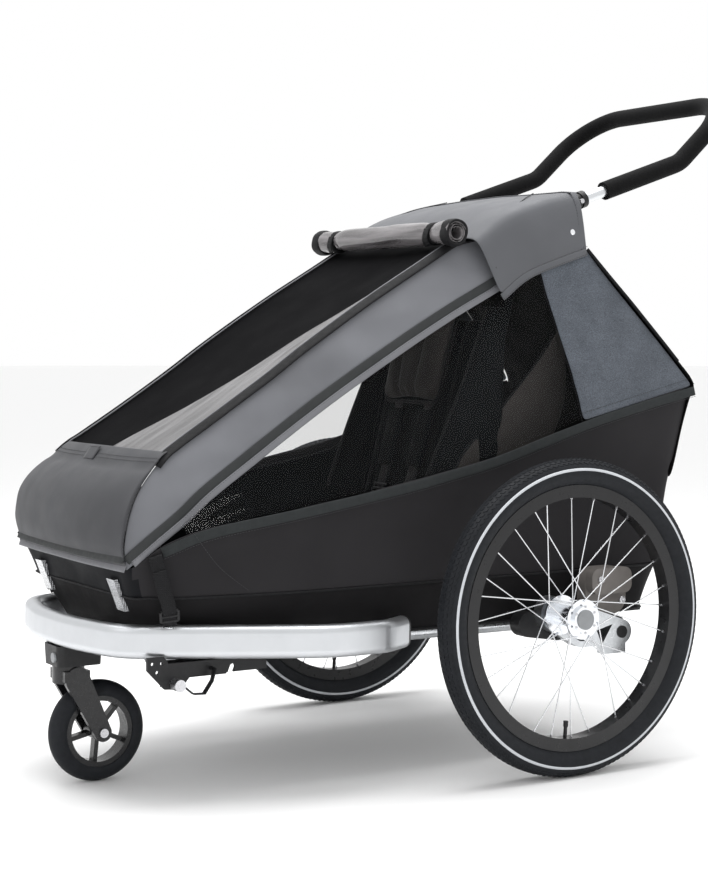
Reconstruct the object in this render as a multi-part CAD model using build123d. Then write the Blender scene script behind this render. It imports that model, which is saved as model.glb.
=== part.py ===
from build123d import *
import math
import os

os.makedirs("parts", exist_ok=True)

# Child bicycle trailer. Millimetres, +X forward, +Y left, +Z up.
# The model is laid out with the rear axle at x = 0 and the ground at z = 0, and
# every node is moved by ORIGIN_SHIFT when it is written, so that the origin is
# the bottom centre of the bounding box.

# ---------------------------------------------------------------- driving sizes
CLEAR = 0.3              # gap between curved faces on different bodies
RUN_FIT = 0.05           # radial clearance of a shaft in its bore

WHEEL_R = 250.0          # 20 inch wheel, outside the tyre
TYRE_R = 22.0            # tyre section radius
TRACK_HALF = 351.0       # wheel plane from the centre plane
RIM_WIDTH = 26.0
RIM_DEPTH = 20.0
SPOKE_R = 1.0
SPOKE_COUNT = 14         # spokes on each hub flange
HUB_FLANGE_R = 31.5
HUB_FLANGE_GAP = 54.0
HUB_FLANGE_THICK = 3.0
SPOKE_LIFT = 0.85        # spoke clear of the flange face where it hooks in
HUB_BODY_R = 17.0
AXLE_R = 6.0
RELEASE_R = 15.5
RELEASE_TRAVEL = 3.0

ARM_PIVOT_X = -137.0     # suspension pivot behind the wheel axle
ARM_PIVOT_Z = 210.0
ARM_INNER_Y = 288.0
MOUNT_INNER_Y = 264.0    # inner face of the suspension mount
ARM_WIDTH = 20.0
PIVOT_PIN_R = 10.0

CASTER_R = 78.8          # nose wheel outside radius
CASTER_TYRE_R = 17.5
CASTER_X = 658.0
SWIVEL_X = 704.0
STEM_R = 8.0
FORK_GAP = 40.0
FORK_LEG = 9.0
CASTER_AXLE_R = 4.0
CASTER_HEAD_Z = 184.0
CASTER_BLOCK_HEIGHT = 34.0

BUMPER_HEIGHT = 50.0
BUMPER_THICK = 26.0
BUMPER_WALL = 2.5
BUMPER_FRONT_X = 738.0   # outer face at the nose
BUMPER_Z = 239.0         # centre height at mid length
BUMPER_TILT = 1.4        # degrees, nose up
BUMPER_HALF_REAR = 290.0
BUMPER_HALF_FRONT = 178.0

FLOOR_Z = 226.0          # underside of the floor pan
FLOOR_THICK = 10.0
FLOOR_INSET = 0.7        # gap between the pan's edge and the fabric round it
FRAME_TUBE_R = 12.0
FRAME_TUBE_HALF_REAR = 170.0
FRAME_TUBE_HALF_FRONT = 140.0

CLOTH = 3.0              # thickness of the fabric walls
BELT_HALF = 264.0        # half width at the belt line
NOSE_HALF = 207.0
END_WALL = 4.0           # thickness of the front and rear fabric walls
WINDOW_HALF = 176.0      # half width between the two zips of the front window
RAIL_HALF = 176.0        # roof rail tube from the centre plane
RAIL_R = 10.0
RAIL_COVER_HALF = 205.0

ROOF_PIVOT_X = 652.0     # where the roof rails hinge at the nose
ROOF_PIVOT_Z = 345.0
BACK_PIVOT_X = -44.0     # where the backrest frame hinges on the roof rails
BACK_PIVOT_Z = 846.0
BACK_FOOT_X = 96.0
BACK_FOOT_Z = 288.0
BACK_HALF = 150.0
BACK_TUBE_R = 9.0
BACK_EYE_HALF = 9.6      # half width of the eye at the top of each backrest leg
BACK_CROSS_R = 8.0
HINGE_PIN_R = 4.0
NOSE_BRACKET_Y = 140.0   # inner face of the upright that carries each roof rail
NOSE_BRACKET_THICK = 5.0

HANDLE_HALF = 202.0
HANDLE_TUBE_R = 9.5
GRIP_R = 15.5
SLEEVE_R = 12.5
HANDLE_SLOPE = math.radians(18.5)
GRIP_SLOPE = math.radians(42.0)
SLEEVE_END_X = -140.0
SLEEVE_END_Z = 921.0
SLEEVE_LENGTH = 110.0
HANDLE_INSIDE = 100.0    # length of handle tube held in the sleeve
GRIP_GAP = 46.0          # bare tube between the sleeve and the foam
HANDLE_BEND = 222.0      # sleeve end to the bend
GRIP_RISE = 170.0        # bend to the crossbar
CROSSBAR_RADIUS = 96.0
HANDLE_TRAVEL = 50.0
SNAP_R = 4.0
SNAP_TRAVEL = 4.0

RECEIVER_Y = 216.0       # outer plate of the drawbar receiver
RECEIVER_PLATE = 5.0
RECEIVER_FRONT_X = 672.0
RECEIVER_LENGTH = 198.0
RECEIVER_TOP_Z = 212.5   # passes under the bumper bar
SOCKET_SIZE = 18.0       # square socket for the drawbar tongue
SOCKET_WALL = 3.0
SOCKET_DEPTH = 130.0
PLATE_HOLE_R = 2.75
PLATE_HOLE_PCD = 17.3
PIN_R = 5.0
PIN_X = 628.0
PIN_TRAVEL = 36.0

REFLECTOR_Y = 139.0
REFLECTOR_LOW_Z = 284.0
REFLECTOR_HEIGHT = 48.0
REFLECTOR_WIDTH = 26.0
REFLECTOR_THICK = 7.0

ROLL_R = 22.0            # rolled rain cover
ROLL_HALF = 214.0
ROLL_X = 123.0
ROLL_Z = 857.5

HANDLE_REAR_X = (SLEEVE_END_X - HANDLE_BEND * math.cos(HANDLE_SLOPE)
                 - GRIP_RISE * math.cos(GRIP_SLOPE) - GRIP_R)
ORIGIN_SHIFT = -(BUMPER_FRONT_X + HANDLE_REAR_X) / 2

nodes = {}


# ------------------------------------------------------------------- helpers
def keep(name, *shapes):
    """Store the solids of one node."""
    nodes[name] = list(shapes)


def flip(shape):
    """Copy to the right-hand side."""
    return mirror(shape, about=Plane.XZ)


def both(left_name, right_name, shape):
    keep(left_name, shape)
    keep(right_name, flip(shape))


def block(x0, x1, y0, y1, z0, z1):
    return Pos((x0 + x1) / 2, (y0 + y1) / 2, (z0 + z1) / 2) * Box(x1 - x0, y1 - y0, z1 - z0)


def rod(start, end, radius):
    """Round bar between two points."""
    start, end = Vector(*start), Vector(*end)
    run = end - start
    plane = Plane(origin=start, z_dir=run.normalized())
    return extrude(plane * Circle(radius), run.length)


def pipe(points, bend, radius, wall=None):
    """Bent tube along a filleted polyline."""
    path = FilletPolyline(*points, radius=bend)
    plane = Plane(origin=path @ 0, z_dir=path % 0)
    section = Circle(radius)
    if wall:
        section = section - Circle(radius - wall)
    return sweep(plane * section, path=path)


def sheet(stations):
    """Ruled solid through polygons that all have the same number of corners."""
    faces = [Face(Wire.make_polygon([Vector(*p) for p in corners], close=True)) for corners in stations]
    return loft(faces, ruled=True)


def side_sheet(lower, upper, thick=CLOTH):
    """Fabric wall between a lower and an upper edge, thickened towards the centre plane."""
    stations = []
    for low, high in zip(lower, upper):
        inner_high = (high[0], high[1] - thick, high[2])
        inner_low = (low[0], low[1] - thick, low[2])
        stations.append([low, high, inner_high, inner_low])
    return sheet(stations)


def wall(edge_points, inset, thick):
    """Wall across the whole width through edge points (x, half width, z), thickened forward."""
    stations = []
    for x, half, z in edge_points:
        side = half - inset
        stations.append([(x, -side, z), (x, side, z), (x + thick, side, z), (x + thick, -side, z)])
    return sheet(stations)


def y_prism(sketch, y0, y1):
    """Extrude a sketch drawn in (x, z) from y0 to y1."""
    return extrude(Plane(origin=(0, y0, 0), x_dir=(1, 0, 0), z_dir=(0, -1, 0)) * sketch, -(y1 - y0))


def y_cylinder(x, z, y0, y1, radius):
    return rod((x, y0, z), (x, y1, z), radius)


def turned(sketch, x, y, z):
    """Revolve a sketch drawn in (radius, axial) about the Y axis and place its centre."""
    return Pos(x, y, z) * revolve(sketch, axis=Axis.Y)


# ---------------------------------------------------------------- outlines
# Belt line: top edge of the lower tub, (x, half width, z), from the back to the nose.
BELT = [(-328, BELT_HALF, 607), (-212, BELT_HALF, 582), (-93, BELT_HALF, 553), (76, BELT_HALF, 503),
        (172, BELT_HALF, 482), (265, BELT_HALF, 464), (441, 260, 435), (582, 241, 411),
        (653, 220, 384), (694, NOSE_HALF, 354)]
TUB_BOTTOM_Z = 228.0
TUB_BOTTOM = [(-257, 222), (-180, 222), (-80, 222), (76, 222), (172, 220), (265, 216), (441, 205), (570, 178),
              (622, 158), (645, 128)]
# Seam where the tub turns in towards the floor: height, and half width below each belt point.
SEAM_Z = 308.0
REAR_SEAM_Z = 463.0      # where the folding rear panel is sewn to the rear of the tub
SEAM_HALF = [250, 250, 250, 250, 250, 250, 246, 226, 212, 196]
# Lower and upper edges of the grey rail covers, (x, half width, z), from the nose to the hood.
COVER_LOW = [(692, 208, 355.5), (653, 212, 388), (605, 208, 420), (564, RAIL_COVER_HALF, 452),
             (496, RAIL_COVER_HALF, 498), (409, RAIL_COVER_HALF, 556), (338, RAIL_COVER_HALF, 601),
             (227, RAIL_COVER_HALF, 667), (132, RAIL_COVER_HALF, 720), (62, 209, 757), (48.5, 210, 764)]
COVER_HIGH = [(703, 204, 392), (682, 197, 456), (636, 184, 508), (604, 178, 530),
              (540, WINDOW_HALF, 570), (450, WINDOW_HALF, 628), (380, WINDOW_HALF, 676),
              (268, WINDOW_HALF, 747), (172, WINDOW_HALF, 803), (104, WINDOW_HALF, 842), (89.3, WINDOW_HALF, 843.6)]
WINDOW_START = 3         # index in COVER_HIGH where the front window meets the nose cover
# Nose cover rows: x at the side edge, x in the middle, half width of the cover it joins, z.
NOSE = [(696, 704, 208, 356.5), (703, 712, 204, 392), (682, 694, 197, 456), (636, 645, 184, 508),
        (604, 607, 178, 530)]
# Hood sections: x at the bottom edge, x at the shoulder, bottom z, shoulder z, crown z.
HOOD = [(48, 90, 758, 846, 852), (0, 20, 792, 891, 901), (-60, -50, 815, 915, 922), (-126, -114, 836, 929.3, 933)]
HOOD_LOW_HALF = 225.0
HOOD_SHOULDER = 217.0


# ---------------------------------------------------------------- floor and frame
def make_floor():
    inset = CLOTH + FLOOR_INSET
    left = [(x, y - inset) for x, y in TUB_BOTTOM]
    left[0] = (TUB_BOTTOM[0][0] + END_WALL + FLOOR_INSET, left[0][1])
    left[-1] = (TUB_BOTTOM[-1][0] - FLOOR_INSET, left[-1][1])
    outline = Polyline(*left, *[(x, -y) for x, y in reversed(left)], close=True)
    keep("floor_pan", Pos(0, 0, FLOOR_Z) * extrude(make_face(outline), FLOOR_THICK))

    tube_z = FLOOR_Z - FRAME_TUBE_R - CLEAR
    cross = y_cylinder(ARM_PIVOT_X, tube_z, -MOUNT_INNER_Y + CLEAR, MOUNT_INNER_Y - CLEAR, FRAME_TUBE_R)
    side = rod((ARM_PIVOT_X + FRAME_TUBE_R + 1, FRAME_TUBE_HALF_REAR, tube_z),
               (TUB_BOTTOM[-1][0] - 8, FRAME_TUBE_HALF_FRONT, tube_z), FRAME_TUBE_R)
    keep("floor_tubes", cross, side, flip(side))


def make_bumper():
    front = BUMPER_FRONT_X - BUMPER_THICK / 2
    half_front = BUMPER_HALF_FRONT
    half_rear = BUMPER_HALF_REAR
    left = [(252, half_rear - 42), (300, half_rear - 12), (400, half_rear), (front - 30, half_front), (front, 60)]
    points = [(x, y, BUMPER_Z) for x, y in left] + [(x, -y, BUMPER_Z) for x, y in reversed(left)]
    radii = [50, 160, 75, 300, 300, 75, 160, 50]
    path = FilletPolyline(*points, radius=radii)
    plane = Plane(origin=path @ 0, x_dir=(0, 0, 1), z_dir=path % 0)
    outer = RectangleRounded(BUMPER_HEIGHT, BUMPER_THICK, BUMPER_THICK / 2 - 1)
    inner = RectangleRounded(BUMPER_HEIGHT - 2 * BUMPER_WALL, BUMPER_THICK - 2 * BUMPER_WALL,
                             BUMPER_THICK / 2 - 1 - BUMPER_WALL)
    tilt = Pos(500, 0, BUMPER_Z) * Rot(0, -BUMPER_TILT, 0) * Pos(-500, 0, -BUMPER_Z)
    keep("bumper_bar", tilt * sweep(plane * (outer - inner), path=path))
    plug = tilt * (extrude(plane * outer, -6) + extrude(plane * offset(inner, -0.4), 14))
    keep("bumper_plugs", plug, flip(plug))
    room = RectangleRounded(BUMPER_HEIGHT + 2 * CLEAR, BUMPER_THICK + 2 * CLEAR, BUMPER_THICK / 2 - 1 + CLEAR)
    room = tilt * sweep(plane * room, path=path)
    low, high = FLOOR_Z - 6, FLOOR_Z - 0.1
    front_bracket = block(TUB_BOTTOM[-1][0] - 25, front, 80, 110, low, high) - room
    side_bracket = block(430, 465, 175, half_rear - 20, low, high) - room
    front_bracket = front_bracket.solids().sort_by(Axis.X)[0]
    side_bracket = side_bracket.solids().sort_by(Axis.Y)[0]
    keep("bumper_brackets", front_bracket, flip(front_bracket), side_bracket, flip(side_bracket))


def make_wheels():
    y = TRACK_HALF
    rim_r = WHEEL_R - 2 * TYRE_R + 3
    tyre = Pos(WHEEL_R - TYRE_R, 0) * Circle(TYRE_R) - Pos(rim_r - 25 + 0.1, 0) * Rectangle(50, 60)
    both("tyre_left", "tyre_right", turned(tyre, 0, y, WHEEL_R))
    rim = Pos(rim_r - RIM_DEPTH / 2, 0) * Rectangle(RIM_DEPTH, RIM_WIDTH)
    well = Pos(rim_r - 3, 0) * Rectangle(9, RIM_WIDTH - 6)
    both("rim_left", "rim_right", turned(rim - well, 0, y, WHEEL_R))

    half = HUB_FLANGE_GAP / 2
    body = Polyline((AXLE_R + RUN_FIT, -half - 4), (HUB_BODY_R, -half - 4), (HUB_BODY_R, -half - 1.5),
                    (HUB_FLANGE_R, -half - 1.5), (HUB_FLANGE_R, -half + 1.5), (HUB_BODY_R, -half + 1.5),
                    (HUB_BODY_R, half - 1.5), (HUB_FLANGE_R, half - 1.5), (HUB_FLANGE_R, half + 1.5),
                    (HUB_BODY_R + 4, half + 1.5), (HUB_BODY_R + 4, half + 7), (RELEASE_R + RUN_FIT, half + 7),
                    (RELEASE_R + RUN_FIT, half + 0.5), (AXLE_R + RUN_FIT, half + 0.5), close=True)
    both("hub_left", "hub_right", turned(make_face(body), 0, y, WHEEL_R))

    spokes = []
    rim_inner = rim_r - RIM_DEPTH
    for side in (-1, 1):
        for index in range(SPOKE_COUNT):
            lean = 1 if index % 2 else -1
            start_angle = 2 * math.pi * index / SPOKE_COUNT + (math.pi / SPOKE_COUNT if side > 0 else 0)
            end_angle = start_angle + lean * math.radians(50)
            hole_r = HUB_FLANGE_R - 3
            y_hub = side * half + lean * (HUB_FLANGE_THICK / 2 + SPOKE_R + SPOKE_LIFT)
            start = (hole_r * math.cos(start_angle), y + y_hub, WHEEL_R + hole_r * math.sin(start_angle))
            reach = rim_inner - 0.25
            end = (reach * math.cos(end_angle), y + side * 4, WHEEL_R + reach * math.sin(end_angle))
            spokes.append(rod(start, end, SPOKE_R))
    keep("spokes_left", *spokes)
    keep("spokes_right", *[flip(spoke) for spoke in spokes])

    button = y_cylinder(0, WHEEL_R, y + half + 0.5 + RELEASE_TRAVEL + 0.3, y + half + 9, RELEASE_R)
    both("release_left", "release_right", button)
    axle = y_cylinder(0, WHEEL_R, ARM_INNER_Y + 2, y + half, AXLE_R)
    collar = y_cylinder(0, WHEEL_R, ARM_INNER_Y + ARM_WIDTH, y - half - 4 - CLEAR, AXLE_R + 7)
    both("stub_axle_left", "stub_axle_right", axle + collar)


def make_suspension():
    y0, y1 = ARM_INNER_Y, ARM_INNER_Y + ARM_WIDTH
    px, pz = ARM_PIVOT_X, ARM_PIVOT_Z
    lobe_x, lobe_z = px * 0.42, pz + 14
    web = make_hull((Pos(0, WHEEL_R) * Circle(27)).edges() + (Pos(lobe_x, lobe_z) * Circle(33)).edges())
    tail = make_hull((Pos(lobe_x, lobe_z) * Circle(33)).edges() + (Pos(px, pz) * Circle(20)).edges())
    clamp = Pos(px + 14, pz - 22) * Rectangle(44, 24)
    sketch = web + tail + clamp
    window = make_face(Polyline((px * 0.62, pz + 6), (px * 0.86, pz + 14), (px * 0.70, pz - 18), close=True))
    sketch = sketch - Pos(lobe_x, lobe_z) * Circle(23) - Pos(px, pz) * Circle(PIVOT_PIN_R + RUN_FIT) - window
    arm = y_prism(sketch, y0, y1) - y_cylinder(0, WHEEL_R, y0 + 2, y1 + 5, AXLE_R + RUN_FIT)
    both("swing_arm_left", "swing_arm_right", arm)

    pin = y_cylinder(px, pz, MOUNT_INNER_Y, y1 + 2, PIVOT_PIN_R)
    keep("arm_pivot_pins", pin, flip(pin))
    mount = make_hull((Pos(px, pz) * Circle(26)).edges() + (Pos(36, 232) * Circle(20)).edges())
    mount = y_prism(mount, MOUNT_INNER_Y, ARM_INNER_Y - CLEAR) - y_cylinder(px, pz, 250, 300, PIVOT_PIN_R + RUN_FIT)
    keep("suspension_mounts", mount, flip(mount))

    hx, hz = px + 17, pz + 66
    inner = y_prism(Pos(hx, hz) * RectangleRounded(84, 78, 26), MOUNT_INNER_Y + 2, ARM_INNER_Y - CLEAR)
    outer = y_prism(Pos(hx, hz + 18) * RectangleRounded(82, 42, 14), ARM_INNER_Y - CLEAR, 304)
    housing = inner + outer - y_prism(make_hull((Pos(px, pz) * Circle(26.3)).edges()
                                                + (Pos(36, 232) * Circle(20.3)).edges()), 260, 300)
    keep("suspension_housings", housing, flip(housing))


def make_caster():
    block_top = CASTER_HEAD_Z + CASTER_BLOCK_HEIGHT
    block_base = CASTER_HEAD_Z + 2
    outline = Pos(SWIVEL_X - 8, 0) * RectangleRounded(72, 62, 10)
    body = Pos(0, 0, block_base) * extrude(outline, block_top - block_base, taper=-3)
    body = body - rod((SWIVEL_X, 0, 150), (SWIVEL_X, 0, block_top - 6), STEM_R + RUN_FIT)
    socket_r = 7.5
    pocket = rod((SWIVEL_X + 20, 14, block_base + 14), (SWIVEL_X + 60, 14, block_base + 14), socket_r + RUN_FIT)
    riser = block(TUB_BOTTOM[-1][0] - 20, SWIVEL_X - 18, -25, 25, block_top - 2, FLOOR_Z - 0.1)
    keep("caster_block", body + riser - pocket)
    face_x = SWIVEL_X - 8 + 36
    button = rod((SWIVEL_X + 24, 14, block_base + 14), (face_x + 4, 14, block_base + 14), socket_r)
    keep("caster_button", button)

    stem = rod((SWIVEL_X, 0, CASTER_HEAD_Z - 20), (SWIVEL_X, 0, block_top - 8), STEM_R)
    head = rod((SWIVEL_X, 0, CASTER_HEAD_Z - 26), (SWIVEL_X, 0, CASTER_HEAD_Z + 1), 25)
    inner, outer = FORK_GAP / 2, FORK_GAP / 2 + FORK_LEG
    leg = make_hull((Pos(SWIVEL_X - 4, CASTER_HEAD_Z - 20) * Circle(20)).edges()
                    + (Pos(CASTER_X, CASTER_R) * Circle(14)).edges())
    left_leg = y_prism(leg, inner, outer)
    bridge = y_prism(Pos(SWIVEL_X - 3, CASTER_HEAD_Z - 14) * Rectangle(42, 16), -outer, outer)
    wheel_room = y_cylinder(CASTER_X, CASTER_R, -inner, inner, CASTER_R + 6)
    fork = head + left_leg + flip(left_leg) + bridge - wheel_room + stem
    fork = fork - y_cylinder(CASTER_X, CASTER_R, -60, 60, CASTER_AXLE_R + RUN_FIT)
    keep("caster_fork", fork)
    bolt = y_cylinder(CASTER_X, CASTER_R, -outer - 3, outer + 3, CASTER_AXLE_R)
    heads = [y_cylinder(CASTER_X, CASTER_R, s * (outer + 0.1), s * (outer + 4), 7) for s in (-1, 1)]
    keep("caster_axle", bolt + heads[0] + heads[1])

    tyre_centre = CASTER_R - CASTER_TYRE_R
    rim_r = tyre_centre - 6
    tyre = Pos(tyre_centre, 0) * Circle(CASTER_TYRE_R) - Pos(rim_r - 20, 0) * Rectangle(40, 60)
    keep("caster_tyre", turned(tyre, CASTER_X, 0, CASTER_R))
    ring = Pos(rim_r - 0.1 - 4, 0) * Rectangle(8, 30)
    hub = Pos((CASTER_AXLE_R + RUN_FIT + 14) / 2, 0) * Rectangle(14 - CASTER_AXLE_R - RUN_FIT, 34)
    wheel = revolve(ring, axis=Axis.Y) + revolve(hub, axis=Axis.Y)
    for index in range(5):
        angle = 360 * index / 5 + 12
        spoke = Pos((rim_r + 8) / 2, 0, 0) * Box(rim_r - 14, 14, 7)
        wheel = wheel + Rot(0, angle, 0) * spoke
    keep("caster_rim", Pos(CASTER_X, 0, CASTER_R) * wheel)


def tub_edge(index, z):
    """Point on the outside of the tub at height z, on the line up from one bottom point."""
    (x_low, half_low), (x_high, half_high, z_high) = TUB_BOTTOM[index], BELT[index]
    x = x_low + (x_high - x_low) * (z - TUB_BOTTOM_Z) / (z_high - TUB_BOTTOM_Z)
    if z <= SEAM_Z:
        share = (z - TUB_BOTTOM_Z) / (SEAM_Z - TUB_BOTTOM_Z)
        return (x, half_low + (SEAM_HALF[index] - half_low) * share, z)
    share = (z - SEAM_Z) / (z_high - SEAM_Z)
    return (x, SEAM_HALF[index] + (half_high - SEAM_HALF[index]) * share, z)


def make_tub():
    stations = []
    for index, belt in enumerate(BELT):
        outer = [tub_edge(index, z) for z in (TUB_BOTTOM_Z, SEAM_Z, belt[2])]
        inner = [(x, y - CLOTH, z) for x, y, z in reversed(outer)]
        stations.append(outer + inner)
    side = sheet(stations)
    keep("tub_sides", side, flip(side))
    gap = CLOTH + CLEAR
    keep("tub_front", wall([tub_edge(-1, z) for z in (TUB_BOTTOM_Z, SEAM_Z, BELT[-1][2])], gap, END_WALL))
    keep("tub_rear", wall([tub_edge(0, z) for z in (TUB_BOTTOM_Z, SEAM_Z, REAR_SEAM_Z)], gap, END_WALL))
    top = (HOOD[-1][0] + 2, HOOD_LOW_HALF, HOOD[-1][2] - 1)
    keep("rear_panel", wall([tub_edge(0, REAR_SEAM_Z + 0.5), BELT[0], top], gap, END_WALL))


def make_canopy():
    cover = side_sheet(COVER_LOW, COVER_HIGH)
    keep("rail_covers", cover, flip(cover))
    stations = []
    for x_edge, x_middle, half, z in NOSE:
        edge_y = half - CLOTH - CLEAR
        row = [(x_edge, -edge_y), (x_middle, -0.6 * edge_y), (x_middle, 0.6 * edge_y), (x_edge, edge_y)]
        stations.append([(x, y, z) for x, y in row] + [(x - CLOTH, y, z) for x, y in reversed(row)])
    keep("nose_cover", sheet(stations))
    stations = []
    for point in COVER_HIGH[WINDOW_START:]:
        x, z = point[0], point[2]
        half = WINDOW_HALF - CLOTH - CLEAR
        stations.append([(x, -half, z - 2), (x, half, z - 2), (x - 1.5, half, z - 5), (x - 1.5, -half, z - 5)])
    keep("mesh_window", sheet(stations))
    hood = []
    for x_low, x_high, z_low, z_high, z_crown in HOOD:
        lean = (x_high - x_low) / (z_high - z_low)

        def corner(y, z):
            return (x_low + lean * (z - z_low), y, z)

        outer = [corner(HOOD_LOW_HALF, z_low), corner(HOOD_SHOULDER, z_high), corner(0, z_crown),
                 corner(-HOOD_SHOULDER, z_high), corner(-HOOD_LOW_HALF, z_low)]
        inner = [corner(CLOTH - HOOD_LOW_HALF, z_low), corner(CLOTH - HOOD_SHOULDER, z_high - CLOTH),
                 corner(0, z_crown - CLOTH), corner(HOOD_SHOULDER - CLOTH, z_high - CLOTH),
                 corner(HOOD_LOW_HALF - CLOTH, z_low)]
        hood.append(outer + inner)
    keep("hood", sheet(hood))


def point_at(edge, x):
    """Point of an edge line at a given x."""
    line = sorted(edge)
    for (x0, y0, z0), (x1, y1, z1) in zip(line, line[1:]):
        if x <= x1:
            share = (x - x0) / (x1 - x0)
            return (x, y0 + (y1 - y0) * share, z0 + (z1 - z0) * share)
    return line[-1]


def make_side_fabric():
    """Clear side windows and the woven panels behind them, between belt and roof."""
    lift = 0.5
    seam_top = (-30, HOOD_LOW_HALF - CLOTH - lift, 804)
    first, last = COVER_LOW[1][0], COVER_LOW[-1][0]
    corners = [x for x, _, _ in COVER_LOW[1:]] + [x for x, _, _ in BELT if last < x < first]
    corners = sorted(set(corners), reverse=True)
    high = [point_at(COVER_LOW, x) for x in corners] + [seam_top]
    low = [point_at(BELT, x) for x in corners] + [point_at(BELT, BELT[2][0] + 1)]
    window = side_sheet([(x, y, z + lift) for x, y, z in low], [(x, y, z - lift) for x, y, z in high], 1.5)
    keep("side_windows", window, flip(window))
    low = [point_at(BELT, x) for x in (BELT[2][0] - 1, BELT[1][0], BELT[0][0] + 1)]
    high = [(-32, 223, 804), (-79, 224, 820), (-124, 225, 835)]
    panel = side_sheet([(x, y, z + lift) for x, y, z in low], [(x, y, z - lift) for x, y, z in high], CLOTH)
    keep("rear_side_panels", panel, flip(panel))


def make_front_trim():
    """Reflectors on the front of the tub, following its slope."""
    low, high = tub_edge(-1, REFLECTOR_LOW_Z), tub_edge(-1, REFLECTOR_LOW_Z + REFLECTOR_HEIGHT)
    back = END_WALL + 0.4
    outline = Polyline((low[0] + back, low[2]), (low[0] + back + REFLECTOR_THICK, low[2]),
                       (high[0] + back + REFLECTOR_THICK, high[2]), (high[0] + back, high[2]), close=True)
    reflector = y_prism(make_face(outline), REFLECTOR_Y - REFLECTOR_WIDTH / 2, REFLECTOR_Y + REFLECTOR_WIDTH / 2)
    keep("front_reflectors", reflector, flip(reflector))


def make_receiver():
    y1, y0 = RECEIVER_Y, RECEIVER_Y - RECEIVER_PLATE
    x1, x0 = RECEIVER_FRONT_X, RECEIVER_FRONT_X - RECEIVER_LENGTH
    top = RECEIVER_TOP_Z
    outer = SOCKET_SIZE + 2 * SOCKET_WALL
    pin_z = top - outer - PIN_R - 1.5
    nose_top = top + 11
    outline = Polyline((x1, nose_top), (x1, top - 8), (PIN_X + 16, pin_z - 7), (PIN_X - 10, pin_z - 9),
                       (PIN_X - 26, top - outer + 3), (x0, top - outer + 3), (x0, top), (x1 - 34, top),
                       (x1 - 27, nose_top), close=True)
    centre = Pos(x1 - 16, top - 3)
    holes = [centre * place * Circle(PLATE_HOLE_R) for place in PolarLocations(PLATE_HOLE_PCD / 2, 3, start_angle=30)]
    notch = Pos(x0 + 62, top - outer + 1) * Rot(0, 0, 22) * SlotOverall(30, 9, rotation=90)
    plate = y_prism(make_face(outline) - holes, y0, y1)
    box = block(x1 - SOCKET_DEPTH - SOCKET_WALL, x1 - 36, y0 - outer, y0, top - outer, top)
    bore = block(x1 - SOCKET_DEPTH, x1 + 5, y0 - outer + SOCKET_WALL, y0 - SOCKET_WALL,
                 top - outer + SOCKET_WALL, top - SOCKET_WALL)
    ear = block(PIN_X - 24, PIN_X + 10, y0 - outer, y0 - outer + 4, pin_z - 8, top - outer + 1)
    flange = block(x0 + 6, x0 + 66, y0 - outer - 25, y1, top - 3, FLOOR_Z - 0.1)
    flange = flange - block(x0, x0 + 80, y0 - outer - 20, y1 + 5, top, FLOOR_Z - 6)
    bearing = y_cylinder(PIN_X, pin_z, y0 - outer - 5, y1 + 5, PIN_R + RUN_FIT)
    keep("drawbar_receiver", plate + box + ear + flange - bore - bearing - y_prism(notch, y0 - 1, y1 + 1))
    pin = y_cylinder(PIN_X, pin_z, y0 - outer - 2, y1 + 1, PIN_R)
    knob = y_cylinder(PIN_X, pin_z, y1 + CLEAR, y1 + 20, 9)
    keep("hitch_pin", pin + knob)
    route = Polyline((PIN_X - 9.6, pin_z - 3), (PIN_X - 24, pin_z - 15), (PIN_X - 42, pin_z - 16),
                     (PIN_X - 55, pin_z + 2), (PIN_X - 60, pin_z + 20))
    ribbon = make_face(offset(route, 0.8, side=Side.BOTH))
    rivet = y_cylinder(PIN_X - 60, pin_z + 18, y1 + CLEAR, y1 + 8, 3)
    keep("pin_strap", y_prism(ribbon, y1 + 7, y1 + 17) + rivet)


def make_roof_frame():
    y = RAIL_HALF
    route = [(ROOF_PIVOT_X, y, ROOF_PIVOT_Z), (628, y, 430), (425, y, 582), (145, y, 747), (-66, y, 858)]
    rail = pipe(route, [60, 400, 400], RAIL_R)
    eye = y_cylinder(ROOF_PIVOT_X, ROOF_PIVOT_Z, y - RAIL_R, y + RAIL_R, RAIL_R + 3)
    rail = rail + eye - y_cylinder(ROOF_PIVOT_X, ROOF_PIVOT_Z, y - 30, y + 30, HINGE_PIN_R + RUN_FIT)
    cross = y_cylinder(24, 811, -y, y, RAIL_R - 1)
    keep("roof_rails", rail + cross + flip(rail))

    plate_y = NOSE_BRACKET_Y
    foot = FLOOR_Z + FLOOR_THICK
    plate = Polyline((ROOF_PIVOT_X - 58, foot), (ROOF_PIVOT_X - 26, foot), (ROOF_PIVOT_X + 14, ROOF_PIVOT_Z - 12),
                     (ROOF_PIVOT_X + 14, ROOF_PIVOT_Z + 10), (ROOF_PIVOT_X - 14, ROOF_PIVOT_Z + 10), close=True)
    plate = y_prism(make_face(plate), plate_y, plate_y + NOSE_BRACKET_THICK)
    boss = y_cylinder(ROOF_PIVOT_X, ROOF_PIVOT_Z, plate_y, y - RAIL_R - CLEAR, HINGE_PIN_R + 4)
    bore = y_cylinder(ROOF_PIVOT_X, ROOF_PIVOT_Z, plate_y - 5, y, HINGE_PIN_R + RUN_FIT)
    upright = plate + boss - bore
    keep("nose_brackets", upright, flip(upright))
    pin = y_cylinder(ROOF_PIVOT_X, ROOF_PIVOT_Z, plate_y - 2, y + RAIL_R + 2, HINGE_PIN_R)
    keep("nose_pivot_pins", pin, flip(pin))
    keep("rain_cover_roll", y_cylinder(ROLL_X, ROLL_Z, -ROLL_HALF, ROLL_HALF, ROLL_R)
         - y_cylinder(ROLL_X, ROLL_Z, -ROLL_HALF - 5, ROLL_HALF + 5, ROLL_R - 9))


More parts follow.
